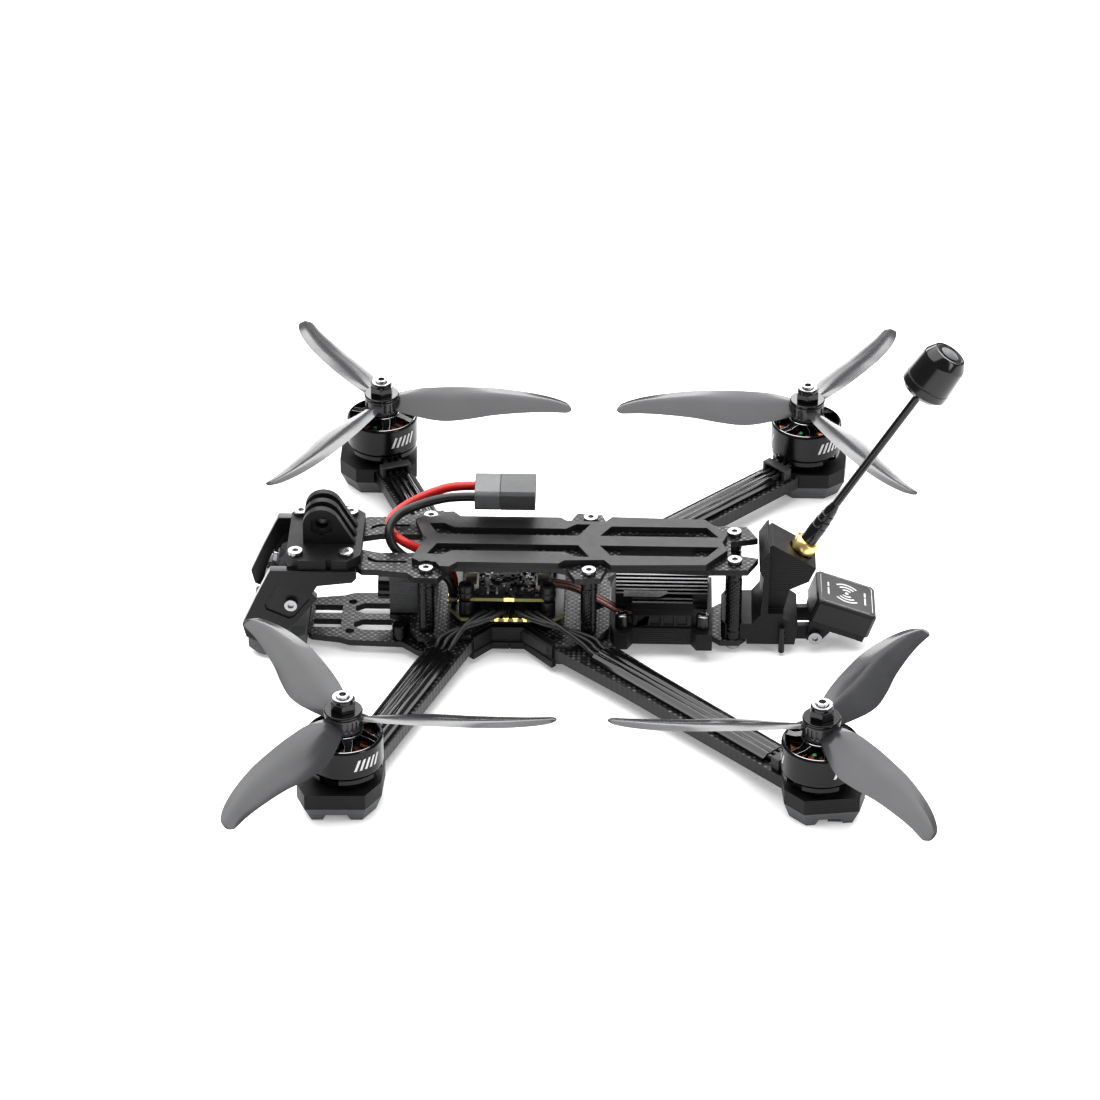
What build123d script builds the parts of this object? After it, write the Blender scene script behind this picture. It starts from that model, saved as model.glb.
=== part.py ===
from build123d import *
from math import atan2, cos, degrees, hypot, pi, radians, sin, tan
import os

# A camera quadcopter. Millimetres. Nose towards -Y, left side towards +X, z = 0 is the ground.
# x = y = 0 is midway between the four motors.

# ---- driving dimensions
MOTOR_X, MOTOR_Y = 112.68, 84.96      # motor axes at (+-x, +-y)
PROP_RADIUS = 76.2                    # six-inch propeller
BOTTOM_Z, ARM_Z, MID_Z, MID_TOP = 3.5, 6.0, 11.0, 13.0
TOP_Z, TOP_TOP = 36.5, 39.0           # top plate
PAD_TOP = 41.5                        # battery pad
FRONT_ROOT, REAR_ROOT = (20.0, -49.5), (20.0, -7.4)
FRONT_WIDTH, REAR_WIDTH = (14.7, 13.4), (18.4, 14.6)
ARM_SPLIT_Y, ARM_GAP = -35.8, 0.2     # where front and rear arms meet, and the gap on the centre line
STANDOFFS = [(18.8, -60.4), (18.9, 0.47), (10.05, 55.0)]
POSTS, POST_TOP, POST_R = [(14, -71), (-14, -71)], 12.0, 2.9
STANDOFF_R, M3_R, M3_HOLE, M2_R = 3.0, 1.5, 1.6, 1.0
STACK_X, STACK_YS = 15.25, (-45.5, -15.0)
ESC_Z, ESC_TOP, FC_Z, FC_TOP = 17.0, 18.6, 24.4, 26.0
VTX_YS = (12.9, 43.4)
MOTOR_BASE_Z, MOTOR_BASE_TOP, BELL_Z, BELL_TOP, PROP_Z = 12.0, 17.6, 18.2, 29.7, 31.6
BELL_R, STATOR_R, STATOR_Z, STATOR_TOP = 14.1, 12.0, 19.5, 26.5
BEARING_R, SHAFT_R, SHAFT_FIT = 4.0, 1.98, 2.0
PROP_SHAFT_R, SHAFT_TOP = 2.5, 46.0
SLOTS, MAGNETS = 12, 14
CAMERA_PIVOT = (-111.2, 24.5)         # y, z of the flying camera's tilt axis
CAMERA_TILT = 20.0
MOUNT_AXIS = (-100.0, 50.8)           # y, z of the action camera's clevis hole
FINGER_R = 7.1                        # rounded top of the clevis fingers
ANTENNA_FOOT, ANTENNA_ANGLE = (82.7, 43.2), 58.7
GPS_PIVOT, GPS_TILT, GPS_FRONT = (86.0, 6.9), 19.5, (83.4, 14.5)
LEAD_R = 1.75                         # battery lead, 14 AWG
MOTOR_WIRE_R = 0.95
BUTTON_TRAVEL = 0.25

# ---- routes of the wires
RED_ROUTE = [
    (-1.0, -51.0, 18.7), (-1.0, -51.0, 25.5), (0.0, -56.0, 31.5), (1.0, -64.0, 37.3),
    (1.0, -70.8, 40.8), (-4.9, -75.6, 41.8), (-13.2, -75.6, 42.2), (-19.1, -71.0, 43.6),
    (-21.8, -64.5, 46.2), (-23.4, -57.0, 48.9), (-24.0, -50.2, 50.3), (-24.0, -43.5, 50.3),
]
BLACK_ROUTE = [
    (5.5, -51.0, 18.7), (5.5, -51.0, 25.0), (5.2, -55.6, 30.2), (4.7, -63.2, 33.2),
    (4.0, -70.0, 35.6), (3.6, -74.8, 41.4), (-0.8, -75.4, 46.4), (-7.4, -71.8, 47.8),
    (-12.4, -65.6, 48.2), (-15.2, -57.8, 49.4), (-16.0, -50.4, 50.3), (-16.0, -43.5, 50.3),
]

MM = (Align.CENTER, Align.CENTER, Align.MIN)


# ---- helpers
def both(points):
    """A closed outline from its x >= 0 half, listed front to rear."""
    return points + [(-x, y) for x, y in reversed(points) if x > 0]


def slab(points, low, high):
    """An outline in plan, between two heights."""
    return extrude(Plane.XY.offset(low) * Polygon(*points, align=None), high - low, dir=(0, 0, 1))


def side_slab(points, low, high):
    """An outline of (y, z) points, between two values of x."""
    return extrude(Plane.YZ.offset(low) * Polygon(*points, align=None), high - low, dir=(1, 0, 0))


def block(x0, x1, y0, y1, z0, z1):
    return Pos((x0 + x1) / 2, (y0 + y1) / 2, z0) * Box(x1 - x0, y1 - y0, z1 - z0, align=MM)


def rod(x, y, low, high, radius):
    return Pos(x, y, low) * Cylinder(radius, high - low, align=MM)


def rod_x(low, high, y, z, radius):
    return Pos((low + high) / 2, y, z) * Rot(0, 90, 0) * Cylinder(radius, high - low)


def rod_y(x, low, high, z, radius):
    return Pos(x, (low + high) / 2, z) * Rot(90, 0, 0) * Cylinder(radius, high - low)


def ring(x, y, low, high, outer, inner):
    return rod(x, y, low, high, outer) - rod(x, y, low, high, inner)


def turned(profile):
    """A solid of revolution about Z from (radius, z) points."""
    return revolve(Plane.XZ * Polygon(*profile, align=None), Axis.Z)


def hexagon(x, y, low, high, flats, inner=0.0):
    outline = RegularPolygon(flats / 2, 6, major_radius=False)
    nut = extrude(Pos(x, y, low) * outline, high - low)
    return nut - rod(x, y, low, high, inner) if inner else nut


def mirrored(solids):
    """The solids and their mirror images across the centre plane."""
    return solids + [mirror(solid, Plane.YZ) for solid in solids]


def save(name, solids):
    os.makedirs("parts", exist_ok=True)
    loose = [piece for solid in solids for piece in solid.solids()]
    export_step(Compound(loose) if len(loose) > 1 else loose[0], f"parts/{name}.step")


def tube(points, radius, name):
    """A round wire: straight runs joined by arcs as large as the runs allow."""
    runs = [(Vector(b) - Vector(a)) for a, b in zip(points, points[1:])]
    radii = []
    for before, after in zip(runs, runs[1:]):
        half = radians(before.get_angle(after)) / 2
        radii.append(0.45 * min(before.length, after.length) / tan(half))
    path = FilletPolyline(*points, radius=radii)
    print(name, "length", round(path.length, 1), "radii", [round(r, 1) for r in radii])
    section = Plane(origin=path @ 0, z_dir=path % 0) * Circle(radius)
    return sweep(section, path=path)


# ---- arms
class Arm:
    """A carbon arm: its axis from the root point to the motor, along s, with t across it."""

    def __init__(self, root, widths, front):
        motor_y = -MOTOR_Y if front else MOTOR_Y
        self.root = root
        self.angle = degrees(atan2(motor_y - root[1], MOTOR_X - root[0]))
        self.widths = widths
        self.front = front
        self.length = hypot(MOTOR_X - root[0], motor_y - root[1])

    def at(self, s, t):
        a = radians(self.angle)
        return (self.root[0] + s * cos(a) - t * sin(a), self.root[1] + s * sin(a) + t * cos(a))

    def octagon(self, apothem):
        corner = apothem / cos(pi / 8)
        turns = [self.angle + 22.5 + 45 * k for k in range(8)]
        x, y = self.at(self.length, 0)
        return [(x + corner * cos(radians(d)), y + corner * sin(radians(d))) for d in turns]

    def end(self, apothem, low, high):
        return slab(self.octagon(apothem), low, high)

    def body(self):
        wide, narrow = self.widths[0] / 2, self.widths[1] / 2
        root, tip = -26.0, self.length
        points = [self.at(root, -wide), self.at(root, wide), self.at(0, wide), self.at(38, narrow + 0.5)]
        points += [self.at(tip, narrow), self.at(tip, -narrow), self.at(38, -narrow - 0.5), self.at(0, -wide)]
        arm = slab(points, ARM_Z, MID_Z) + self.end(ARM_END, ARM_Z, MID_Z)
        kept = (-200, ARM_SPLIT_Y - 0.05) if self.front else (ARM_SPLIT_Y + 0.05, 200)
        arm = arm & block(ARM_GAP / 2, 200, *kept, 0, 20)
        x, y = self.at(self.length, 0)
        return arm - rod(x, y, 0, 20, 3.2)


ARM_END, GUARD = 11.2, 14.3
FRONT_ARM = Arm(FRONT_ROOT, FRONT_WIDTH, True)
REAR_ARM = Arm(REAR_ROOT, REAR_WIDTH, False)
ARMS = (FRONT_ARM, REAR_ARM)
COVER_RUN = {True: (14.0, 79.0), False: (18.0, 108.0)}
WIRE_PITCH = 2.6

BAND = [
    (23.5, -42.7), (15.8, -36.0), (15.8, -24.0), (28.5, -13.1),
    (27.0, -11.6), (13.6, -24.8), (13.6, -35.4), (21.9, -44.5),
]


def motor_screws(arm):
    """Places of the four screws that hold a motor, on a 16 mm circle."""
    x, y = arm.at(arm.length, 0)
    turns = [radians(arm.angle + 45 + 90 * k) for k in range(4)]
    return [(x + 8 * cos(turn), y + 8 * sin(turn)) for turn in turns]


def stack_places():
    return [(sign * STACK_X, y) for sign in (1, -1) for y in STACK_YS]


def standoff_places():
    return [(sign * x, y) for x, y in STANDOFFS for sign in (1, -1)]


def drilled(solid, places, radius):
    for x, y in places:
        solid = solid - rod(x, y, -1, 60, radius)
    return solid


# ---- frame
def plates():
    bottom_half = [
        (0, -106), (11.6, -106), (13, -104.6), (14.8, -94), (16.6, -90), (17.4, -70), (23, -64), (25.6, -56),
        (22.6, -44), (15, -36), (15, -24), (27.2, -12), (27.5, -6), (24, 3.5), (14.5, 8),
        (9, 11), (9, 46), (13, 50), (13, 57), (9.5, 60), (0, 60),
    ]
    mid_half = [
        (0, -75), (9.4, -75), (10.4, -67.2), (18, -66.8), (24.6, -63.6), (25.6, -54.8), (22.8, -43.8),
        (15, -36), (15, -24),
        (27.6, -11.8), (29.6, -6), (25, 3.2), (16, 8.2), (0, 8.2),
    ]
    band = slab(BAND, 0, 20) + slab([(-x, y) for x, y in BAND], 0, 20)
    bottom = slab(both(bottom_half), BOTTOM_Z, ARM_Z) - band
    for sign in (1, -1):
        bottom -= block(*sorted((sign * 2.1, sign * 7.7)), -104.5, -94, 0, 20)
        slot = [
            (4.4, -89), (6.9, -89), (9.3, -85.8), (9.3, -75.2),
            (6.9, -72), (4.4, -72), (2.1, -75.2), (2.1, -85.8),
        ]
        bottom -= slab([(sign * x, y) for x, y in slot], 0, 20)
    bottom -= slab([(-7, 14), (7, 14), (7, 24), (0, 27), (-7, 24)], 0, 20)
    bottom -= slab([(-7, 42), (7, 42), (7, 32), (0, 29), (-7, 32)], 0, 20)
    mid = slab(both(mid_half), MID_Z, MID_TOP) - band
    holes = [(sign * 10.2, -90.35) for sign in (1, -1)]
    bottom = drilled(bottom, stack_places() + standoff_places() + holes, M3_HOLE)
    bottom = drilled(bottom, POSTS, M3_HOLE)
    mid = drilled(mid, stack_places() + standoff_places(), M3_HOLE)
    mid = drilled(mid, [(0, -30), (0, 3)], 3.5)
    return bottom, mid


def top_plate():
    half = [
        (0, -113), (14, -113), (16.9, -110), (16.9, -86.5), (19, -84.5), (19, -79), (20.9, -67.2),
        (23.9, -64.8), (24.4, -56), (15.4, -50.7), (15.4, -12), (17.1, -7.5), (23.5, -4.7),
        (22.7, 4.8), (14.4, 7.3), (14.6, 20), (15.8, 45), (15.4, 59.8), (7, 63.9), (4.4, 53.6),
        (0, 53.6),
    ]
    plate = slab(both(half), TOP_Z, TOP_TOP)
    slot = [(0, -87.4), (4.6, -85.6), (6.6, -79), (6.6, -62), (3, -59), (0, -59)]
    plate -= slab(both(slot), 0, 60)
    for sign in (1, -1):
        plate -= slab([(sign * x, y) for x, y in STRAP_SLIT], 0, 60)
        plate -= block(*sorted((sign * 2.5, sign * 9)), -44, -20, 0, 60)
        plate -= block(*sorted((sign * 2.5, sign * 9)), 12, 40, 0, 60)
    plate = drilled(plate, standoff_places(), M3_HOLE)
    return drilled(plate, ACTION_SCREWS, M3_HOLE)


STRAP_SLIT = [
    (9.6, -83), (12.2, -82.4), (13.6, -79.6), (13.6, -68), (12.3, -68), (12.3, -78.8), (11.4, -80.6),
]
ACTION_SCREWS = [(x, y) for x in (14.5, -14.5) for y in (-109.5, -90.5)]


def arm_bodies():
    solids = []
    for arm in ARMS:
        body = drilled(arm.body(), motor_screws(arm), M3_HOLE)
        solids.append(drilled(body, stack_places() + standoff_places(), M3_HOLE))
    return solids


def wire_covers():
    """A hollow glossy cover with chamfered top edges over the wires on each arm."""
    solids = []
    for arm in ARMS:
        start, end = COVER_RUN[arm.front]
        plane = Plane(origin=(*arm.at(start, 0), MID_Z), x_dir=(*direction(arm.angle + 90), 0),
                      z_dir=(*direction(arm.angle), 0))
        outer = Polygon((-5.5, 0), (-5.5, 1.8), (-4.2, 3), (4.2, 3), (5.5, 1.8), (5.5, 0), align=None)
        inner = Polygon((-4.3, 0), (-4.3, 2.3), (4.3, 2.3), (4.3, 0), align=None)
        solids.append(extrude(plane * (outer - inner), end - start, dir=(*direction(arm.angle), 0)))
    return mirrored(solids)


def direction(angle):
    return (cos(radians(angle)), sin(radians(angle)))


def bumpers():
    solid = slab(BAND, 2.5, 12.2)
    for arm in arm_bodies():
        solid -= arm
    for arm in ARMS:
        wide = arm.widths[0] / 2
        points = [arm.at(-26, -wide), arm.at(-26, wide), arm.at(60, wide), arm.at(60, -wide)]
        solid -= slab(points, ARM_Z, MID_Z)
    face = BAND[:4]
    recess = [(x - 0.8, y) for x, y in face] + [(x + 3, y) for x, y in reversed(face)]
    solid -= slab(recess, 5.4, 10.4)
    solid -= block(15.2, 17, -29.6, -29.2, 2, 13)
    return mirrored([solid])


FOOT = {
    # outlines in plan about the motor axis, front and rear
    True: [(7.1, -16.9), (14.9, -13.6), (14.4, 8), (5.5, 13.4), (-8, 14), (-14, 9), (-14, -10), (-6, -16.9)],
    False: [
        (6.3, -12.6), (13.4, -5.6), (10.6, 14.2), (2, 16.5),
        (-8, 15.5), (-13.5, 9), (-13.5, -6), (-6, -13.6),
    ],
}
FOOT_TAPER = 0.84
FOOT_NOTCH = {True: -2.4, False: 3.6}


def landing_feet():
    """The light lower foot under each arm end, tapered, with a notch in its outer side."""
    feet, guards = [], []
    for arm in ARMS:
        x, y = arm.at(arm.length, 0)
        outline = [(x + u, y + v) for u, v in FOOT[arm.front]]
        narrow = [(x + FOOT_TAPER * u, y + FOOT_TAPER * v) for u, v in FOOT[arm.front]]
        low = Plane.XY * Polygon(*narrow, align=None)
        high = Plane.XY.offset(ARM_Z) * Polygon(*outline, align=None)
        foot = loft([low, high], ruled=True)
        middle = y + FOOT_NOTCH[arm.front]
        notch = [(middle - 5, 0), (middle - 3.8, 2.7), (middle + 3.8, 2.7), (middle + 5, 0)]
        foot -= side_slab(notch, x + 8.5, x + 20)
        feet.append(drilled(foot, motor_screws(arm), 3.2))
        guard = slab(outline, ARM_Z, MOTOR_BASE_Z) - arm.body() - rod(x, y, 5, 13, 3.2)
        points = [arm.at(arm.length - 20, -7.6), arm.at(arm.length - 20, 7.6)]
        points += [arm.at(arm.length, 7.6), arm.at(arm.length, -7.6)]
        guard -= slab(points, ARM_Z, MID_Z)
        near, far = arm.length - 22, arm.length - GUARD + 0.2
        points = [arm.at(near, -6.3), arm.at(near, 6.3), arm.at(far, 6.3), arm.at(far, -6.3)]
        guard -= slab(points, MID_Z, MOTOR_BASE_Z + 1)
        guards.append(drilled(guard, motor_screws(arm), M3_HOLE))
    return mirrored(feet), mirrored(guards)


def wire_guards():
    """The light printed hoop that leads the three wires into each motor."""
    solids = []
    for arm in ARMS:
        near, far = arm.length - GUARD - 4.2, arm.length - GUARD - 0.2
        points = [arm.at(near, -6), arm.at(near, 6), arm.at(far, 6), arm.at(far, -6)]
        guard = slab(points, MID_Z, 15.8)
        points = [arm.at(near - 1, -4.4), arm.at(near - 1, 4.4), arm.at(far + 1, 4.4), arm.at(far + 1, -4.4)]
        solids.append(guard - slab(points, MID_Z, 14.9))
    return mirrored(solids)


def standoffs():
    solids = []
    for x, y in standoff_places():
        low = ARM_Z if y > 50 else MID_TOP
        post = ring(x, y, low, TOP_Z, STANDOFF_R, M3_R)
        for z in (low + 4, TOP_Z - 4):
            post -= ring(x, y, z - 0.4, z + 0.4, STANDOFF_R + 1, STANDOFF_R - 0.35)
        solids.append(post)
    return solids + [ring(x, y, ARM_Z, POST_TOP, POST_R, M3_HOLE) for x, y in POSTS]


def frame_screws():
    """Button screws down into the standoffs from the top plate and up into them from below."""
    solids = []
    for x, y in standoff_places():
        head = rod(x, y, TOP_TOP, TOP_TOP + 1.6, 2.7) - hexagon(x, y, TOP_TOP + 0.6, TOP_TOP + 2, 2)
        solids.append(rod(x, y, TOP_TOP - 7, TOP_TOP, M3_R - 0.02) + head)
        low = BOTTOM_Z - 1.6
        head = rod(x, y, low, BOTTOM_Z, 2.7) - hexagon(x, y, low - 1, low + 1, 2)
        solids.append(rod(x, y, BOTTOM_Z, MID_TOP + 5, M3_R - 0.02) + head)
    return solids


PAD_OPENINGS = [
    [(3.4, -57), (10.8, -60.4), (11.2, -55), (8.2, -51), (8.2, -8.8), (11.6, -4.8), (11.6, 0.4), (3.4, -3.9)],
    [(3.5, 4.3), (10.3, 8.5), (10.3, 44.5), (3.5, 49)],
]


def battery_pad():
    half = [
        (0, -60.9), (2.2, -62.6), (13.9, -66), (16.6, -62.7), (16.5, -56.9), (19.4, -55.4),
        (19.8, -51.8), (16.4, -48.8), (16.5, -10.9), (14.2, -8.6), (13.6, 6.0), (17.3, 8.6),
        (16.2, 44), (5.5, 52.3), (0, 50.4),
    ]
    pad = slab(both(half), TOP_TOP, PAD_TOP)
    for opening in PAD_OPENINGS:
        for sign in (1, -1):
            pad -= slab([(sign * u, v) for u, v in opening], 30, 50)
    for x, y in standoff_places():
        pad -= rod(x, y, TOP_TOP, PAD_TOP, 3.0)
    return pad


# ---- nose
PLATE_OUTLINE = [
    (-86.4, 39), (-118.6, 39), (-119.5, 37.6), (-124.6, 27), (-129.9, 15.1), (-128.6, 9.5),
    (-124.4, 7.5), (-118, 7.5), (-113, 13.5), (-110, 15.7), (-101.3, 26.7), (-103.3, 29), (-101.1, 32.5),
    (-88, 34.2), (-86.4, 36),
]
INSERT_OUTLINE = [
    (-116.4, 32.2), (-114.8, 32.6), (-104.6, 28.2), (-104.2, 26.8), (-110.4, 18.8), (-112.2, 18.2),
    (-120.4, 22.0), (-121, 23.8),
]


def camera_plates():
    y, z = CAMERA_PIVOT
    plate = side_slab(PLATE_OUTLINE, 17, 21) - side_slab(INSERT_OUTLINE, 16, 22)
    insert = side_slab(INSERT_OUTLINE, 17.6, 20.4) - rod_x(15, 23, y, z, M2_R + 0.1)
    return plate, insert


def nose_bumper():
    """A low grey soft bar across the nose that both camera plates stand in."""
    outline = [
        (-106.2, 3.5), (-124, 1.5), (-128.2, 3.2), (-128.2, 7.5),
        (-117.5, 7.5), (-112, 9.4), (-106.2, 9.4),
    ]
    bar = side_slab(outline, -21.5, 21.5)
    for sign in (1, -1):
        bar -= side_slab(PLATE_OUTLINE, *sorted((sign * 16.9, sign * 21.1)))
        bar -= slab([(sign * x, y) for x, y in ((17.5, -129), (23, -129), (23, -119))], 0, 20)
        bar -= slab([(sign * x, y) for x, y in ((17, -105), (23, -105), (23, -113))], 0, 20)
    return bar - block(-12.5, 12.5, -118.5, -100, 5.5, 20)


def flying_camera():
    """The camera's case and lens, tilted up about its pivot."""
    y, z = CAMERA_PIVOT
    place = Pos(0, y, z) * Rot(-CAMERA_TILT, 0, 0)
    case = chamfer(Box(19, 16, 18).edges(), 2.2)
    case += rod_x(-16.6, 16.6, 0, 0, 2.4) + Box(25, 9, 10)
    case += rod_y(0, -8.8, -7, 0, 7.9)
    case -= rod_x(-18, -10, 0, 0, M2_R) + rod_x(10, 18, 0, 0, M2_R)
    case -= rod_y(0, -13, -6, 0, 6.6)
    lens = rod_y(0, -10.6, -6, 0, 6.6) - Pos(0, -11.7, 0) * Sphere(5.2)
    screws = []
    for sign in (1, -1):
        low, high = sorted((sign * 20.5, sign * 22.3))
        head = rod_x(low, high, 0, 0, 2.45) - rod_x(*sorted((sign * 21.4, sign * 23)), 0, 0, 1.1)
        screws.append(head + rod_x(*sorted((sign * 11, sign * 20.5)), 0, 0, M2_R - 0.01))
    return place * case, place * lens, [place * screw for screw in screws]


def action_mount():
    """The soft base and three fingers that take an action camera's clevis."""
    y, z = MOUNT_AXIS
    half = [
        (0, -113), (15, -113), (20, -108), (20, -97.8), (18.6, -97.8),
        (18.6, -95.8), (20, -95.8), (20, -90), (15, -85), (0, -85),
    ]
    base = slab(both(half), TOP_TOP, 43)
    finger = [(y - FINGER_R, 43), (y - FINGER_R, z)]
    finger += [(y - FINGER_R * cos(pi * k / 12), z + FINGER_R * sin(pi * k / 12)) for k in range(1, 11)]
    finger += [(y + 12.6, 43)]
    for low, high in ((-7.7, -4.7), (-1.5, 1.5), (4.7, 7.7)):
        base += side_slab(finger, low, high)
    base -= rod_x(-10, 10, y, z, 2.5)
    base -= Pos(6.2, y, z) * Rot(0, 90, 0) * extrude(RegularPolygon(4, 6, major_radius=False), 3)
    base = drilled(base, ACTION_SCREWS, M3_HOLE)
    screws = []
    for x, place in ACTION_SCREWS:
        head = rod(x, place, 43, 44.5, 2.8) - hexagon(x, place, 43.8, 45, 2)
        screws.append(head + rod(x, place, 33, 43, M3_R))
    return base, screws


# ---- electronics
def capacitor():
    holder = block(-8, 8, -75, -64.5, MID_TOP, 27) - rod_y(0, -76, -60, 20, 5.1)
    can = rod_y(0, -79.7, -66, 20, 5.0)
    return can, holder


def esc():
    half = [
        (0, -53.2), (7.2, -53.2), (7.6, -51.6), (13, -51.6),
        (19.5, -47.5), (19.5, -13), (16, -9), (0, -9),
    ]
    board = drilled(slab(both(half), ESC_Z, ESC_TOP), stack_places(), M3_HOLE)
    parts = []
    for sign in (1, -1):
        for k in range(4):
            y = -39.6 + 6 * k
            parts.append(block(*sorted((sign * 7, sign * 12)), y, y + 5.2, ESC_TOP, ESC_TOP + 1))
        for k in range(6):
            y = -41.2 + 4 * k
            parts.append(block(*sorted((sign * 16.6, sign * 19.3)), y, y + 2.2, ESC_TOP, ESC_TOP + 0.12))
    for x in (-1, 5.5):
        parts.append(block(x - 2.6, x + 2.6, -52.9, -49, ESC_TOP, ESC_TOP + 0.1))
    parts.append(block(-4, 4, -34, -26, ESC_TOP, ESC_TOP + 0.9))
    return board, parts


def flight_controller():
    half = [(0, -47.3), (17, -47.3), (17, -13.3), (0, -13.3)]
    board = drilled(slab(both(half), FC_Z, FC_TOP), stack_places(), 2.2)
    parts = [block(-3.5, 3.5, -34, -27, FC_TOP, FC_TOP + 0.9)]
    for x0, x1, y0, y1, height in (
        (5.5, 12, -46.8, -41.2, 4.2), (5.5, 12, -19.5, -13.8, 4.2), (-12, -5.5, -46.8, -41.2, 4.2),
        (-12, -5.5, -19.5, -13.8, 4.2), (-9, -5.5, -38, -22, 2.4), (5.2, 7.8, -32.5, -31, 1.6),
        (5.2, 7.8, -21.6, -20.4, 1.6), (-3, 3, -44.5, -40.5, 1.2), (8.5, 11.5, -27, -24, 0.9),
    ):
        parts.append(block(x0, x1, y0, y1, FC_TOP, FC_TOP + height))
    switch = block(11.2, 15.2, -38, -33.6, FC_TOP, FC_TOP + 1.4)
    switch -= block(12.1, 14.3, -37, -34.6, FC_TOP + 0.5, FC_TOP + 2)
    parts.append(switch)
    button = block(12.2, 14.2, -36.9, -34.7, FC_TOP + 0.5 + BUTTON_TRAVEL + 0.05, FC_TOP + 1.9)
    return board, parts, button


def stack_hardware():
    screws, grommets = [], []
    for x, y in stack_places():
        shaft = rod(x, y, BOTTOM_Z, 30.4, M3_R - 0.02) + rod(x, y, BOTTOM_Z - 1.6, BOTTOM_Z, 2.7)
        screws.append(shaft - hexagon(x, y, BOTTOM_Z - 2.6, BOTTOM_Z - 0.6, 2))
        screws.append(hexagon(x, y, MID_TOP, MID_TOP + 2.4, 5.5, M3_R))
        grommets.append(ring(x, y, MID_TOP + 2.4, ESC_Z, 2.9, M3_R))
        grommets.append(ring(x, y, ESC_TOP, FC_Z, 2.9, M3_R))
        grommets.append(ring(x, y, FC_TOP, 28.2, 3.1, M3_R) + ring(x, y, FC_Z, FC_TOP, 2.15, M3_R))
        grommets.append(ring(x, y, 28.2, 31.0, 2.9, M3_R))
    return screws, grommets


# ---- video transmitter
def vtx_places():
    return [(sign * STACK_X, y) for sign in (1, -1) for y in VTX_YS]


def transmitter():
    tray_half = [
        (0, 8.6), (14, 8.6), (20.3, 10), (20.3, 15), (16.3, 17),
        (16.3, 39), (20.3, 41), (20.3, 47), (0, 47),
    ]
    tray = slab(both(tray_half), ARM_Z, 13.2)
    tray -= block(-13.5, 13.5, 12, 44.5, 10.5, 14)
    tray = drilled(tray, vtx_places(), M3_HOLE)
    for x, y in vtx_places():
        tray -= hexagon(x, y, ARM_Z, 8.4, 5.6)
    for arm in arm_bodies():
        tray -= arm
    wall = block(-15.5, 15.5, 17, 39.2, 13.2, 19) - block(-13.9, 13.9, 18.4, 37.8, 13.2, 19)
    for sign in (1, -1):
        for k in range(4):
            y = 18.6 + 5 * k
            wall -= block(*sorted((sign * 14.9, sign * 15.6)), y, y + 3.8, 14.2, 18)
    board = block(-13.8, 13.8, 18.5, 37.7, 13.2, 16)
    sink_half = [
        (0, 10.4), (11.8, 10.4), (11.8, 16.6), (16.5, 16.6),
        (16.5, 39.6), (11.8, 39.6), (11.8, 45.1), (0, 45.1),
    ]
    sink = slab(both(sink_half), 19, 21.4)
    for k in range(13):
        x = -15.6 + 2.6 * k
        run = (10.4, 45.1) if abs(x) < 11 else (16.6, 39.6)
        sink += block(x - 0.6, x + 0.6, *run, 21.4, 25.2 if abs(x) < 11 else 24.4)
    screws = []
    for x, y in vtx_places():
        screws.append(rod(x, y, ARM_Z, 19.0, M3_R - 0.02) + rod(x, y, 13.2, 18.4, 2.5))
        screws.append(hexagon(x, y, ARM_Z, 8.4, 5.5, M3_R))
    return tray, wall, board, sink, screws


# ---- rear end
def along(distance, across=0.0):
    """A (y, z) point on the antenna's axis."""
    a = radians(ANTENNA_ANGLE)
    y, z = ANTENNA_FOOT
    return (y + distance * cos(a) + across * sin(a), z + distance * sin(a) - across * cos(a))


def on_antenna(solid):
    y, z = ANTENNA_FOOT
    return Pos(0, y, z) * Rot(-(90 - ANTENNA_ANGLE), 0, 0) * solid


def rear_mount():
    profile = [
        (50.5, 6), (50.5, 12.7), (62, 13), (65, 17), (66, 33), (64.3, 36.4), (64.3, 39.4), (67.2, 44),
        (72, 48.2), (75.8, 49.4), (86.7, 38), (83.1, 29.6), (76, 26), (73.5, 15.5), (79.3, 11.7),
        (78.3, 3.9), (60.1, 3.9), (60.1, 6),
    ]
    solid = side_slab(profile, -12, 12)
    plan = both([(0, 50), (8, 50), (12, 52), (12, 78), (9, 90), (0, 90)])
    solid &= slab(plan, 0, 60)
    solid -= on_antenna(rod(0, 0, -9, -7, 3.25) + rod(0, 0, -7, 12, 5.0))
    solid -= on_antenna(block(-15, 15, -16, 25, -5, 25))
    for sign in (1, -1):
        solid -= block(*sorted((sign * 8.2, sign * 13)), 68, 92, 17.5, 60)
        solid -= rod(sign * 10.05, 55, 0, 40, 3.1)
        cheek = [(76, 3.9), (76, 9.5), (84, 9.9), (89, 8.5), (89, 4.6), (86, 3.9)]
        solid += side_slab(cheek, *sorted((sign * 5, sign * 7.8)))
    solid -= rod_x(-10, 10, *GPS_PIVOT, 1.6)
    return solid


def antenna():
    nut = hexagon(0, 0, -7, -0.4, 8.4) + rod(0, 0, -8.8, 0, 3.2)
    nut -= rod(0, 0, -3, 1, 0.7)
    stem = turned([(0, 0), (3.1, 0), (3.1, 15.5), (2.3, 17.4), (1.6, 18.2), (1.6, 75.5), (0, 75.5)])
    cap = turned([(0, 75.5), (7.5, 75.5), (9.3, 77.3), (8.4, 91.5), (6.4, 94.7), (0, 95.5)])
    pin = rod(0, 0, -3, 0, 0.65)
    return on_antenna(nut), on_antenna(stem + pin), on_antenna(cap)


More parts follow.
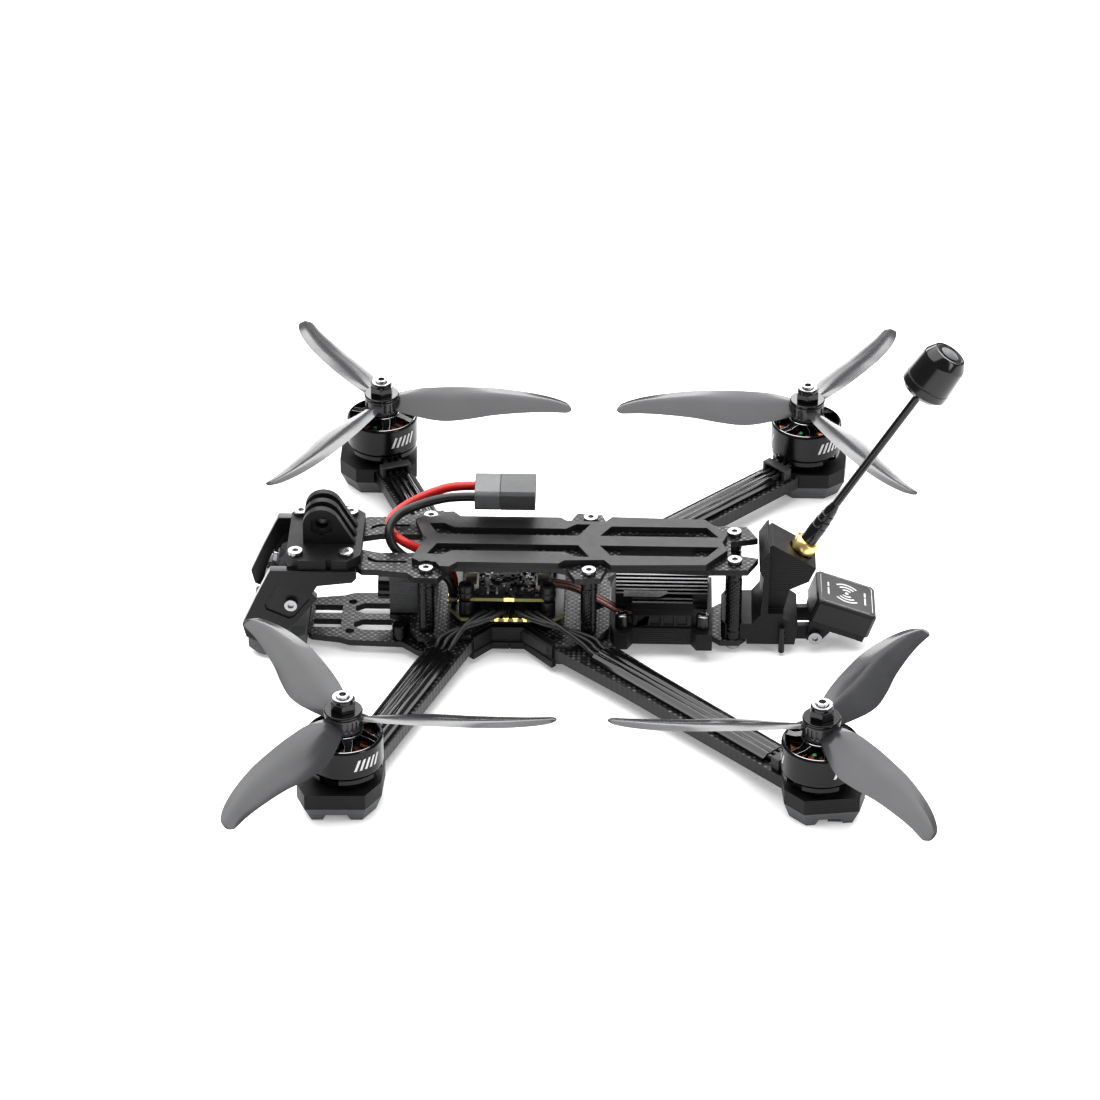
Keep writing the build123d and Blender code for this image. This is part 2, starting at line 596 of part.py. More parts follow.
def gps():
    """The satellite receiver's box, its cradle and the bolt that both turn about."""
    place = Pos(0, *GPS_FRONT) * Rot(-GPS_TILT, 0, 0)
    case = chamfer(block(-11.25, 11.25, 0, 24, 0, 9.5).edges().filter_by(Axis.Z), 1.4)
    case = chamfer(case.edges().group_by(Axis.Z)[-1], 0.8)
    cradle = block(-11.2, 11.2, 1, 22.5, -2.2, 0)
    cradle -= block(-8, 8, 12, 20, -3, 0)
    for sign in (1, -1):
        ear = side_slab([(1.2, -2.2), (2.4, -9), (7.2, -9), (9.8, -2.2)], *sorted((sign * 8.1, sign * 10.4)))
        cradle += ear
        cradle -= block(*sorted((sign * 11, sign * 12)), 3, 20, -3, 0)
    cradle = place * cradle - rod_x(-12, 12, *GPS_PIVOT, 1.5)
    bolt = rod_x(-11.8, 10.4, *GPS_PIVOT, 1.5 - 0.01) + rod_x(10.4, 12.4, *GPS_PIVOT, 2.6)
    bolt -= Pos(11.6, *GPS_PIVOT) * Rot(0, 90, 0) * extrude(RegularPolygon(1, 6, major_radius=False), 2)
    nut = rod_x(-12.6, -10.4, *GPS_PIVOT, 2.7) - rod_x(-13, -10, *GPS_PIVOT, 1.5)
    return place * case, cradle, [bolt, nut]


def receiver_antennas():
    return mirrored([rod(13.3, 73.3, 1.5, 12.5, 1.15)])


def lead_plug():
    """The battery plug, lying flat over the far edge of the pad: a rear body and a front cover."""
    body = chamfer(block(-28, -12, -33.8, -20.5, 46.3, 54.4).edges().filter_by(Axis.Y), 1.2)
    for x in (-24, -16):
        body -= rod_y(x, -27, -20, 50.3, 2.3)
    cover = chamfer(block(-28, -12, -43.5, -33.8, 46.3, 54.4).edges().filter_by(Axis.Y), 1.2)
    return body, cover


# ---- motors
def motor_fixed():
    """The parts of one motor that stay with the arm, about its own axis."""
    profile = [
        (4.0, 12.0), (10, 12), (10, 13), (13.6, 15.8), (13.6, 17.6), (12.8, 17.6), (12.8, 16.4),
        (9.4, 14.2), (4.8, 14.2), (4.8, 27.2), (4.0, 27.2),
    ]
    base = turned(profile)
    for k in range(4):
        base -= Rot(0, 0, 90 * k) * block(-3.7, 3.7, 10.0, 16, 13.2, 18)
        turn = radians(45 + 90 * k)
        base -= rod(8 * cos(turn), 8 * sin(turn), 10, 20, M3_HOLE)
    iron = ring(0, 0, STATOR_Z, STATOR_TOP, 6.4, 4.8)
    coils = []
    shoe = ring(0, 0, STATOR_Z, STATOR_TOP, STATOR_R, 11.0)
    for k in range(SLOTS):
        turn = Rot(0, 0, 360 / SLOTS * k)
        iron += turn * block(-0.9, 0.9, 6.2, 11.2, STATOR_Z, STATOR_TOP)
        shoe -= turn * Rot(0, 0, 180 / SLOTS) * block(-0.7, 0.7, 9, 13, STATOR_Z - 1, STATOR_TOP + 1)
        coil = block(-1.7, 1.7, 6.9, 10.8, STATOR_Z - 0.9, STATOR_TOP + 0.9)
        coils.append(turn * (coil - block(-0.9, 0.9, 6, 12, STATOR_Z, STATOR_TOP)))
    iron += shoe
    bearings = [ring(0, 0, 12.4, 15.4, BEARING_R, SHAFT_FIT), ring(0, 0, 24, 27, BEARING_R, SHAFT_FIT)]
    screws = []
    for k in range(4):
        turn = radians(45 + 90 * k)
        x, y = 8 * cos(turn), 8 * sin(turn)
        screws.append(rod(x, y, 4.4, ARM_Z, 2.75) + rod(x, y, ARM_Z, 14, M3_R - 0.02))
    return base, iron, coils, bearings, screws


def motor_bell():
    """The turning outer shell of a motor with its shaft, and the magnets inside it."""
    profile = [
        (0, 12.6), (SHAFT_R, 12.6), (SHAFT_R, 27.9), (4.4, 28.2), (12.4, 28.2), (13.1, 27.6),
        (13.1, BELL_Z),
        (BELL_R, BELL_Z), (BELL_R, 28.9), (13.3, BELL_TOP), (6.8, 30.1), (6.8, PROP_Z), (PROP_SHAFT_R, PROP_Z),
        (PROP_SHAFT_R, SHAFT_TOP - 0.5), (PROP_SHAFT_R - 0.5, SHAFT_TOP), (0, SHAFT_TOP),
    ]
    bell = turned(profile) - hexagon(0, 0, SHAFT_TOP - 2.5, SHAFT_TOP + 1, 2.5)
    magnets = []
    for k in range(MAGNETS):
        turn = Rot(0, 0, 360 / MAGNETS * k)
        magnets.append(turn * (block(-2.4, 2.4, 12.3, 13.0, STATOR_Z - 0.6, STATOR_TOP + 0.6)))
    opening = ring(0, 0, 27, 31, 12.6, 7.2) - block(-13, 13, -13, 1.4, 26, 32)
    opening -= Rot(0, 0, 60) * block(-13, 13, -1.4, 13, 26, 32)
    for k in range(6):
        bell -= Rot(0, 0, 60 * k) * opening
    magnets = [magnet & ring(0, 0, 18, 28, 13.1, 12.3) for magnet in magnets]
    return bell, magnets


BLADE = [
    # radius, leading edge, trailing edge, pitch in degrees
    (5.5, 4.4, -4.2, 28), (13.0, 6.2, -6.1, 26), (21.0, 7.3, -8.2, 24), (27.0, 7.8, -8.9, 22),
    (36.0, 8.1, -7.9, 20), (45.0, 8.3, -6.0, 18), (57.0, 7.0, -4.8, 15), (66.0, 4.8, -4.5, 13.5),
    (72.5, 1.9, -4.6, 12.5), (76.0, -2.4, -4.6, 12),
]


def propeller(clockwise):
    """A three-blade propeller; the leading edge of each blade is its high edge."""
    side = 1 if clockwise else -1
    faces = []
    for radius, lead, trail, pitch in BLADE:
        rise = sin(radians(pitch))
        half = 0.8 if radius < 60 else 0.45
        corners = [(lead, lead * rise), (trail, trail * rise)]
        outline = [(side * corners[0][0], corners[0][1] - 0.35), (side * corners[0][0], corners[0][1] + 0.35),
                   (0.5 * side * (lead + trail), 0.5 * (corners[0][1] + corners[1][1]) + half),
                   (side * corners[1][0], corners[1][1] + 0.35), (side * corners[1][0], corners[1][1] - 0.35),
                   (0.5 * side * (lead + trail), 0.5 * (corners[0][1] + corners[1][1]) - half)]
        plane = Plane(origin=(0, radius, 35.5), x_dir=(1, 0, 0), z_dir=(0, -1, 0))
        faces.append(plane * Polygon(*outline, align=None))
    blade = loft(faces, ruled=True)
    hub = turned([(2.55, PROP_Z), (6.8, PROP_Z), (6.8, 37.4), (6.0, 38.4), (2.55, 38.4)])
    for k in range(3):
        hub += Rot(0, 0, 120 * k) * blade
    return hub - rod(0, 0, 30, 40, 2.55)


def prop_nut():
    nut = rod(0, 0, 38.4, 39.6, 7.0) + hexagon(0, 0, 39.6, 43.4, 8.3) + rod(0, 0, 43.4, 45.0, 4.15)
    return nut - rod(0, 0, 38, 46, PROP_SHAFT_R + 0.03)


def motors():
    base, iron, coils, bearings, screws = motor_fixed()
    bell, magnets = motor_bell()
    fixed = {
        "motor_bases": [],
        "motor_stators": [],
        "motor_windings": [],
        "motor_bearings": [],
        "motor_screws": [],
    }
    names = {(1, -1): "front_left", (-1, -1): "front_right", (1, 1): "rear_left", (-1, 1): "rear_right"}
    for (sign_x, sign_y), name in names.items():
        arm = FRONT_ARM if sign_y < 0 else REAR_ARM
        place = Pos(sign_x * MOTOR_X, sign_y * MOTOR_Y, 0)
        facing = place * Rot(0, 0, arm.angle if sign_x > 0 else -arm.angle)
        fixed["motor_bases"].append(facing * base)
        fixed["motor_stators"].append(facing * iron)
        fixed["motor_windings"] += [facing * coil for coil in coils]
        fixed["motor_bearings"] += [facing * bearing for bearing in bearings]
        fixed["motor_screws"] += [facing * screw for screw in screws]
        save(f"motor_bell_{name}", [place * bell] + [place * magnet for magnet in magnets])
        blades = place * Rot(0, 0, 0 if sign_y < 0 else 180) * propeller(sign_x * sign_y < 0)
        save(f"propeller_{name}", [blades])
        save(f"prop_nut_{name}", [place * prop_nut()])
    for node, solids in fixed.items():
        save(node, solids)


def motor_wires():
    """Three wires from each side of the speed controller along each arm into its motor."""
    solids = []
    for arm in ARMS:
        start, end = COVER_RUN[arm.front]
        for k in range(3):
            across = WIRE_PITCH * (k - 1)
            pad_y = -31.5 - 3.6 * k if arm.front else -26.6 + 3.6 * (2 - k)
            lean = -5.5 if arm.front else 5.5
            third = (end - start) / 3
            route = [
                (16.8, pad_y, 19.75), (22.8, pad_y + lean, 20.0), (*arm.at(start - 6.5, 1.25 * across), 15.0),
                (*arm.at(start - 2.3, across), 12.1), (*arm.at(start + third, across - 0.25), 12.15),
                (*arm.at(end - third, across + 0.25), 12.15), (*arm.at(end + 1, across), 12.15),
                (*arm.at(arm.length - GUARD - 2.2, across), 12.8), (*arm.at(arm.length - 10.8, across), 15.6),
            ]
            solids.append(tube(route, MOTOR_WIRE_R, f"motor wire {k}"))
    return mirrored(solids)


# ---- the whole quadcopter
bottom, mid = plates()
save("bottom_plate", [bottom])
save("mid_plate", [mid])
save("top_plate", [top_plate()])
front, rear = arm_bodies()
save("front_arms", mirrored([front]))
save("rear_arms", mirrored([rear]))
save("arm_wire_covers", wire_covers())
save("side_bumpers", bumpers())
feet, guards = landing_feet()
save("landing_feet", feet)
save("arm_end_guards", guards)
save("motor_wire_guards", wire_guards())
save("standoffs", standoffs())
mount, mount_screws = action_mount()
save("action_camera_mount", [mount])
save("frame_screws", frame_screws() + mount_screws)
save("battery_pad", [battery_pad()])

camera_plate, insert = camera_plates()
save("camera_plates", mirrored([camera_plate]))
save("camera_plate_inserts", mirrored([insert]))
save("nose_bumper", [nose_bumper()])
case, lens, pivots = flying_camera()
save("fpv_camera_case", [case])
save("fpv_camera_lens", [lens])
save("camera_pivot_screws", pivots)

can, holder = capacitor()
save("capacitor", [can])
save("capacitor_holder", [holder])
board, parts = esc()
save("speed_controller", [board] + parts)
board, parts, button = flight_controller()
save("flight_controller", [board] + parts)
save("boot_button", [button])
stack_screws, grommets = stack_hardware()
save("stack_grommets", grommets)

tray, wall, board, sink, vtx_screws = transmitter()
save("vtx_tray", [tray])
save("vtx_module", [wall, board])
save("vtx_heatsink", [sink])
save("board_screws", stack_screws + vtx_screws)

save("rear_mount", [rear_mount()])
nut, stem, cap = antenna()
save("antenna_socket", [nut])
save("antenna_stem", [stem])
save("antenna_cap", [cap])
save("receiver_antennas", receiver_antennas())
case, cradle, bolt = gps()
save("gps_case", [case])
save("gps_bracket", [cradle])
save("gps_pivot_bolt", bolt)

body, cover = lead_plug()
save("plug_body", [body])
save("plug_cover", [cover])
save("battery_wire_red", [tube(RED_ROUTE, LEAD_R, "red wire")])
save("battery_wire_black", [tube(BLACK_ROUTE, LEAD_R, "black wire")])
save("motor_wires", motor_wires())
motors()
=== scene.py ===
from math import cos, hypot, pi, radians, sin, sqrt

import bmesh
import bpy
import numpy as np
from mathutils import Matrix, Vector


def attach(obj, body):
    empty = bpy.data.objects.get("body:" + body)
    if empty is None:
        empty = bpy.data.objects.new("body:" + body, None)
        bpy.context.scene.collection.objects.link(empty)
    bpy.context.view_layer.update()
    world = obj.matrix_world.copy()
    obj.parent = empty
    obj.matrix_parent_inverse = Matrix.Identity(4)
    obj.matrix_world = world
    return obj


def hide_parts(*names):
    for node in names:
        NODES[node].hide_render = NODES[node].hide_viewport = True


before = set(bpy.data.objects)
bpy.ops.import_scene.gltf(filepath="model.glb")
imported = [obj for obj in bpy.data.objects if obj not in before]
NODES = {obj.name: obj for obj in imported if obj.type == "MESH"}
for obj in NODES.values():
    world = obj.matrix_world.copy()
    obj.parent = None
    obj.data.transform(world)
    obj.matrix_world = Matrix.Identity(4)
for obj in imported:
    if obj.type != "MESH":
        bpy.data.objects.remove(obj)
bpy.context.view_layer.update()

MM = 0.001
CORNERS = {
    "front_left": (1, -1),
    "front_right": (-1, -1),
    "rear_left": (1, 1),
    "rear_right": (-1, 1),
}

CAMERA_PLACE = (1383.71, 24.0, 900.6)       # millimetres
CAMERA_TURN, CAMERA_RISE = 1.596, 31.958    # degrees
CAMERA_LENS, CAMERA_SENSOR = 141.53, 36.0   # millimetres
WORLD_LIGHT, SUN_LIGHT, SUN_SPREAD = 0.33, 5.0, 85
FLOOR_HALF, FLOOR_GLOW, GAMMA = 6.0, 0.3, 0.86
EDGE_ANGLE = 35                             # degrees between faces that get a rounded edge


# ---------------------------------------------------------------- camera, light and floor
def look_at(obj, back):
    """Turns an object so that it looks along -back with no roll."""
    right = Vector((0, 0, 1)).cross(back).normalized()
    up = back.cross(right)
    obj.rotation_euler = Matrix((right, up, back)).transposed().to_euler()


def camera():
    data = bpy.data.cameras.new("camera")
    data.sensor_width = CAMERA_SENSOR
    data.lens = CAMERA_LENS
    data.clip_end = 20
    obj = bpy.data.objects.new("camera", data)
    bpy.context.scene.collection.objects.link(obj)
    turn, rise = radians(CAMERA_TURN), radians(CAMERA_RISE)
    obj.location = Vector(CAMERA_PLACE) * MM
    look_at(obj, Vector((cos(turn) * cos(rise), sin(turn) * cos(rise), sin(rise))))
    bpy.context.scene.camera = obj


def area_light(name, place, size, power, target=(0, 0, 0.03)):
    data = bpy.data.lights.new(name, "AREA")
    data.shape = "RECTANGLE"
    data.size, data.size_y = size
    data.energy = power
    obj = bpy.data.objects.new(name, data)
    bpy.context.scene.collection.objects.link(obj)
    obj.location = place
    look_at(obj, (Vector(place) - Vector(target)).normalized())


def studio():
    """A pale floor and world, a broad overhead light and two soft boxes."""
    world = bpy.data.worlds.new("studio")
    bpy.context.scene.world = world
    world.use_nodes = True
    background = world.node_tree.nodes["Background"]
    background.inputs["Color"].default_value = (1, 1, 1, 1)
    background.inputs["Strength"].default_value = WORLD_LIGHT
    sun = bpy.data.lights.new("overhead", "SUN")
    sun.energy = SUN_LIGHT
    sun.angle = radians(SUN_SPREAD)
    overhead = bpy.data.objects.new("overhead", sun)
    overhead.rotation_euler = (radians(8), radians(-14), 0)
    bpy.context.scene.collection.objects.link(overhead)
    area_light("rim", (-0.9, 0.1, 0.5), (1.4, 0.25), 7)
    area_light("side", (0.7, 0.9, 0.6), (0.3, 0.6), 3)
    mesh = bpy.data.meshes.new("floor")
    half = FLOOR_HALF
    corners = [(-half, -half, 0), (half, -half, 0), (half, half, 0), (-half, half, 0)]
    mesh.from_pydata(corners, [], [(0, 1, 2, 3)])
    floor = bpy.data.objects.new("floor", mesh)
    bpy.context.scene.collection.objects.link(floor)
    paper = bpy.data.materials.new("floor_paper")
    paper.use_nodes = True
    shader = paper.node_tree.nodes["Principled BSDF"]
    shader.inputs["Base Color"].default_value = (0.93, 0.93, 0.93, 1)
    shader.inputs["Roughness"].default_value = 0.9
    shader.inputs["Emission Color"].default_value = (1, 1, 1, 1)
    shader.inputs["Emission Strength"].default_value = FLOOR_GLOW
    mesh.materials.append(paper)
    bpy.context.scene.view_settings.view_transform = "Standard"
    bpy.context.scene.view_settings.gamma = GAMMA


# ---------------------------------------------------------------- materials
class Finish:
    """A node material: the principled shader and short helpers that add nodes to it."""

    def __init__(self, name, color, rough, metal=0.0, specular=0.5, coat=0.0, coat_rough=0.05):
        self.material = bpy.data.materials.new(name)
        self.material.use_nodes = True
        self.tree = self.material.node_tree
        self.shader = self.tree.nodes["Principled BSDF"]
        values = {
            "Base Color": (*color, 1), "Roughness": rough, "Metallic": metal,
            "Specular IOR Level": specular, "Coat Weight": coat, "Coat Roughness": coat_rough,
        }
        for key, value in values.items():
            self.shader.inputs[key].default_value = value
        self.place = self.add("ShaderNodeTexCoord").outputs["Object"]
        self.normal_in = None

    def add(self, kind, inputs=(), **settings):
        node = self.tree.nodes.new(kind)
        for key, value in settings.items():
            setattr(node, key, value)
        for key, value in dict(inputs).items():
            self.feed(node.inputs[key], value)
        return node

    def feed(self, socket, value):
        if isinstance(value, bpy.types.NodeSocket):
            self.tree.links.new(value, socket)
        else:
            socket.default_value = value

    def math(self, operation, a, b=0.0, c=0.0):
        return self.add("ShaderNodeMath", {0: a, 1: b, 2: c}, operation=operation).outputs[0]

    def axes(self, turn=0.0):
        """Object x, y and z in metres, turned about Z."""
        spin = self.add("ShaderNodeMapping", {"Vector": self.place, "Rotation": (0, 0, turn)})
        return self.add("ShaderNodeSeparateXYZ", {0: spin.outputs[0]}).outputs

    def facing_up(self):
        """How far the surface faces up, from -1 to 1."""
        geometry = self.add("ShaderNodeNewGeometry")
        return self.add("ShaderNodeSeparateXYZ", {0: geometry.outputs["Normal"]}).outputs[2]

    def noise(self, scale, detail):
        inputs = {"Vector": self.place, "Scale": scale, "Detail": detail, "Roughness": 0.6}
        return self.add("ShaderNodeTexNoise", inputs).outputs["Fac"]

    def mix(self, factor, low, high):
        """Blends two colours, each a node socket or three numbers."""
        node = self.add("ShaderNodeMix", data_type="RGBA")
        self.feed(node.inputs[0], factor)
        for socket, color in ((node.inputs[6], low), (node.inputs[7], high)):
            self.feed(socket, color if isinstance(color, bpy.types.NodeSocket) else (*color, 1))
        return node.outputs[2]

    def spread(self, value, low, high):
        """Maps 0..1 to low..high."""
        return self.math("MULTIPLY_ADD", value, high - low, low)

    def bump(self, height, depth, strength=1.0):
        inputs = {"Height": height, "Distance": depth, "Strength": strength}
        if self.normal_in:
            inputs["Normal"] = self.normal_in
        self.normal_in = self.add("ShaderNodeBump", inputs).outputs[0]
        self.feed(self.shader.inputs["Normal"], self.normal_in)

    def color(self, value):
        self.feed(self.shader.inputs["Base Color"], value)

    def rough(self, value):
        self.feed(self.shader.inputs["Roughness"], value)


def shade(color, gain, lift=0.0):
    return tuple(min(1.0, gain * part + lift) for part in color)


def carbon(name, turn=0.0):
    """Plain-woven cloth under satin resin on the faces, fine plies on the cut edges."""
    f = Finish(name, (0.02, 0.02, 0.02), 0.34, specular=0.3)
    x, y, z = f.axes(turn)
    tow, ply, light = 1.35 * MM, 0.28 * MM, 0.17
    u, v = f.math("DIVIDE", x, tow), f.math("DIVIDE", y, tow)
    column, row = f.math("FLOOR", u), f.math("FLOOR", v)
    over = f.math("FLOORED_MODULO", f.math("ADD", column, row), 2.0)
    across = f.math("SINE", f.math("MULTIPLY", f.math("FRACT", u), pi))
    along = f.math("SINE", f.math("MULTIPLY", f.math("FRACT", v), pi))
    height = f.math("MULTIPLY", across, along)
    cell = f.add("ShaderNodeCombineXYZ", {0: column, 1: row}).outputs[0]
    chance = f.add("ShaderNodeTexWhiteNoise", {"Vector": cell}).outputs["Value"]
    warp = f.math("MULTIPLY", over, f.math("POWER", height, 0.8))
    grain = f.noise(1300, 2)
    glint = f.math("MULTIPLY", f.math("POWER", chance, 1.1), f.math("ADD", grain, 0.55))
    shine = f.math("MULTIPLY", warp, glint)
    cloth = f.mix(shine, (0.0035, 0.0035, 0.004), (light, light, light * 1.03))
    plies = f.math("SINE", f.math("MULTIPLY", z, 2 * pi / ply))
    streaks = f.math("MULTIPLY_ADD", plies, 0.35, grain)
    edge = f.mix(streaks, (0.004, 0.004, 0.004), (0.03, 0.03, 0.031))
    flat = f.math("GREATER_THAN", f.math("ABSOLUTE", f.facing_up()), 0.5)
    f.color(f.mix(flat, edge, cloth))
    f.rough(f.spread(over, 0.42, 0.28))
    f.bump(f.math("MULTIPLY", height, flat), 0.07 * MM, 0.5)
    return f.material


def printed(name, color, rough=0.5, layer=0.42, specular=0.45):
    """Flexible printed plastic: layer lines on its walls and fine rows of bead on its top faces."""
    f = Finish(name, color, rough, specular=specular)
    x, _, z = f.axes(radians(45))
    layers = f.math("SINE", f.math("MULTIPLY", z, 2 * pi / (layer * MM)))
    bead = 0.5 * MM
    beads = f.math("SINE", f.math("MULTIPLY", x, 2 * pi / bead))
    flat = f.math("GREATER_THAN", f.math("ABSOLUTE", f.facing_up()), 0.8)
    f.bump(f.math("MULTIPLY", layers, f.math("SUBTRACT", 1.0, flat)), 0.05 * MM, 0.8)
    f.bump(f.math("MULTIPLY", beads, flat), 0.02 * MM, 0.35)
    patches = f.noise(260, 4)
    tone = f.math("MULTIPLY_ADD", layers, 0.18, patches)
    f.color(f.mix(tone, shade(color, 0.75), shade(color, 1.35, 0.004)))
    f.rough(f.spread(patches, rough - 0.08, rough + 0.12))
    return f.material


def plain(name, color, rough, metal=0.0, **options):
    """Moulded or machined stock with a fine grain and slightly uneven gloss."""
    f = Finish(name, color, rough, metal, **options)
    grit = f.noise(600, 4)
    smudge = f.noise(40, 3)
    f.rough(f.spread(smudge, max(0.02, rough * 0.75), min(1.0, rough * 1.3)))
    f.color(f.mix(grit, shade(color, 0.8), shade(color, 1.2)))
    f.bump(grit, 0.01 * MM, 0.3)
    return f.material


def turned_metal(name, color, rough, metal=1.0, **options):
    """Lathe-turned metal with fine rings along Z."""
    f = Finish(name, color, rough, metal, **options)
    z = f.axes()[2]
    feed = 0.12 * MM
    rings = f.math("SINE", f.math("MULTIPLY", z, 2 * pi / feed))
    f.bump(rings, 0.006 * MM, 0.3)
    smudge = f.noise(120, 3)
    f.rough(f.spread(smudge, rough * 0.8, rough * 1.25))
    f.color(f.mix(smudge, shade(color, 0.85), shade(color, 1.1)))
    return f.material


def finned_metal():
    """Black anodised fins with a painted highlight: their upward faces above the fin height are coloured
    lighter.
    """
    f = Finish("sink", (0.01, 0.01, 0.011), 0.3, 0.7)
    fin_top = 23.5 * MM
    level = f.math("GREATER_THAN", f.facing_up(), 0.8)
    # painted highlight mask: the upward faces above the fin height, where the light falls on the fin tops
    top = f.math("MULTIPLY", level, f.math("GREATER_THAN", f.axes()[2], fin_top))
    mill = f.noise(700, 3)
    # painted highlight colour for those upward faces, made uneven by the milling noise
    painted_fin_highlight = f.mix(mill, (0.10, 0.10, 0.10), (0.26, 0.26, 0.27))
    f.color(f.mix(top, (0.007, 0.007, 0.008), painted_fin_highlight))
    f.rough(f.spread(mill, 0.24, 0.4))
    f.bump(mill, 0.01 * MM, 0.3)
    return f.material


def wound_copper():
    """Enamelled wire, uneven in colour."""
    f = Finish("copper", (0.75, 0.28, 0.13), 0.3, 1.0, coat=0.5)
    f.color(f.mix(f.noise(500, 3), (0.22, 0.055, 0.025), (0.62, 0.22, 0.10)))
    return f.material


def smoke_blade():
    """Glossy polycarbonate with a cloudy smoke tint."""
    f = Finish("prop_smoke", (0.045, 0.045, 0.048), 0.2, specular=0.42, coat=0.15, coat_rough=0.1)
    cloud = f.noise(24, 3)
    f.color(f.mix(cloud, (0.024, 0.0245, 0.026), (0.066, 0.066, 0.070)))
    f.rough(f.spread(f.noise(90, 4), 0.14, 0.24))
    f.bump(f.noise(300, 2), 0.012 * MM, 0.15)
    return f.material


def rubber_wire(name, color):
    """Silicone skin with a little dust on it."""
    f = Finish(name, color, 0.33, specular=0.5)
    dust = f.noise(700, 4)
    f.color(f.mix(dust, shade(color, 0.7), shade(color, 1.15, 0.01)))
    f.rough(f.spread(dust, 0.25, 0.45))
    f.bump(dust, 0.02 * MM, 0.25)
    return f.material


MATERIALS = {
    "carbon": carbon("carbon"),
    "carbon_front": carbon("carbon_front", radians(20.9)),
    "carbon_rear": carbon("carbon_rear", radians(45)),
    "soft_black": printed("soft_black", (0.006, 0.006, 0.0065), 0.46, 0.9, 0.28),
    "soft_pad": printed("soft_pad", (0.009, 0.009, 0.0095), 0.40, 0.6, 0.42),
    "soft_grey": printed("soft_grey", (0.075, 0.077, 0.08), 0.5, 0.9),
    "soft_light": printed("soft_light", (0.035, 0.036, 0.037), 0.45, 0.9, 0.4),
    "cover_gloss": plain("cover_gloss", (0.003, 0.003, 0.0035), 0.14, specular=0.45, coat=0.25),
    "anodised": turned_metal("anodised", (0.005, 0.005, 0.0055), 0.16, 0.15, specular=0.38),
    "bright": turned_metal("bright", (0.40, 0.40, 0.41), 0.22),
    "steel": plain("steel", (0.30, 0.30, 0.31), 0.25, 1.0),
    "dark_steel": plain("dark_steel", (0.05, 0.05, 0.052), 0.3, 0.9),
    "sink": finned_metal(),
    "lamination": turned_metal("lamination", (0.012, 0.012, 0.012), 0.4, 0.5),
    "copper": wound_copper(),
    "brass": turned_metal("brass", (0.86, 0.60, 0.24), 0.2),
    "gold": plain("gold", (0.95, 0.68, 0.28), 0.25, 1.0),
    "board_black": plain("board_black", (0.006, 0.007, 0.006), 0.3, specular=0.35),
    "board_edge": plain("board_edge", (0.20, 0.19, 0.06), 0.55),
    "chip": plain("chip", (0.008, 0.008, 0.009), 0.42, specular=0.3),
    "connector": plain("connector", (0.50, 0.47, 0.41), 0.4),
    "tin": plain("tin", (0.32, 0.32, 0.32), 0.35, 0.9),
    "black_plastic": plain("black_plastic", (0.006, 0.006, 0.0065), 0.34, specular=0.35),
    "gloss_black": plain("gloss_black", (0.004, 0.004, 0.0045), 0.14, specular=0.45, coat=0.15),
    "grey_plastic": plain("grey_plastic", (0.115, 0.118, 0.122), 0.42),
    "dark_grey": plain("dark_grey", (0.055, 0.056, 0.058), 0.42),
    "lens": plain("lens", (0.01, 0.008, 0.02), 0.03, coat=1.0, specular=0.8),
    "smoke": smoke_blade(),
    "wire_black": rubber_wire("wire_black", (0.005, 0.005, 0.005)),
    "wire_red": rubber_wire("wire_red", (0.55, 0.012, 0.01)),
    "wire_orange": rubber_wire("wire_orange", (0.55, 0.16, 0.05)),
    "green": plain("green", (0.05, 0.5, 0.22), 0.3),
    "print_white": plain("print_white", (0.62, 0.62, 0.62), 0.5),
}


# ---------------------------------------------------------------- CAD nodes that keep their shape
def round_edges(obj, width):
    """Two-segment rounded edges, a width in millimetres, that catch the light."""
    edge = obj.modifiers.new("edge", "BEVEL")
    edge.width = width * MM
    edge.segments = 2
    edge.limit_method = "ANGLE"
    edge.angle_limit = radians(EDGE_ANGLE)
    edge.harden_normals = True


def dress(node, finish, bevel):
    """Gives a CAD node its finish and, where bevel isn't 0, small rounded edges."""
    obj = NODES[node]
    obj.data.materials.clear()
    obj.data.materials.append(MATERIALS[finish])
    weld = obj.modifiers.new("weld", "WELD")
    weld.merge_threshold = 0.002 * MM
    merge = obj.modifiers.new("merge", "DECIMATE")
    merge.decimate_type = "DISSOLVE"
    merge.angle_limit = radians(0.4)
    if bevel:
        round_edges(obj, bevel)
    for polygon in obj.data.polygons:
        polygon.use_smooth = True
    obj.modifiers.new("normals", "WEIGHTED_NORMAL").keep_sharp = True


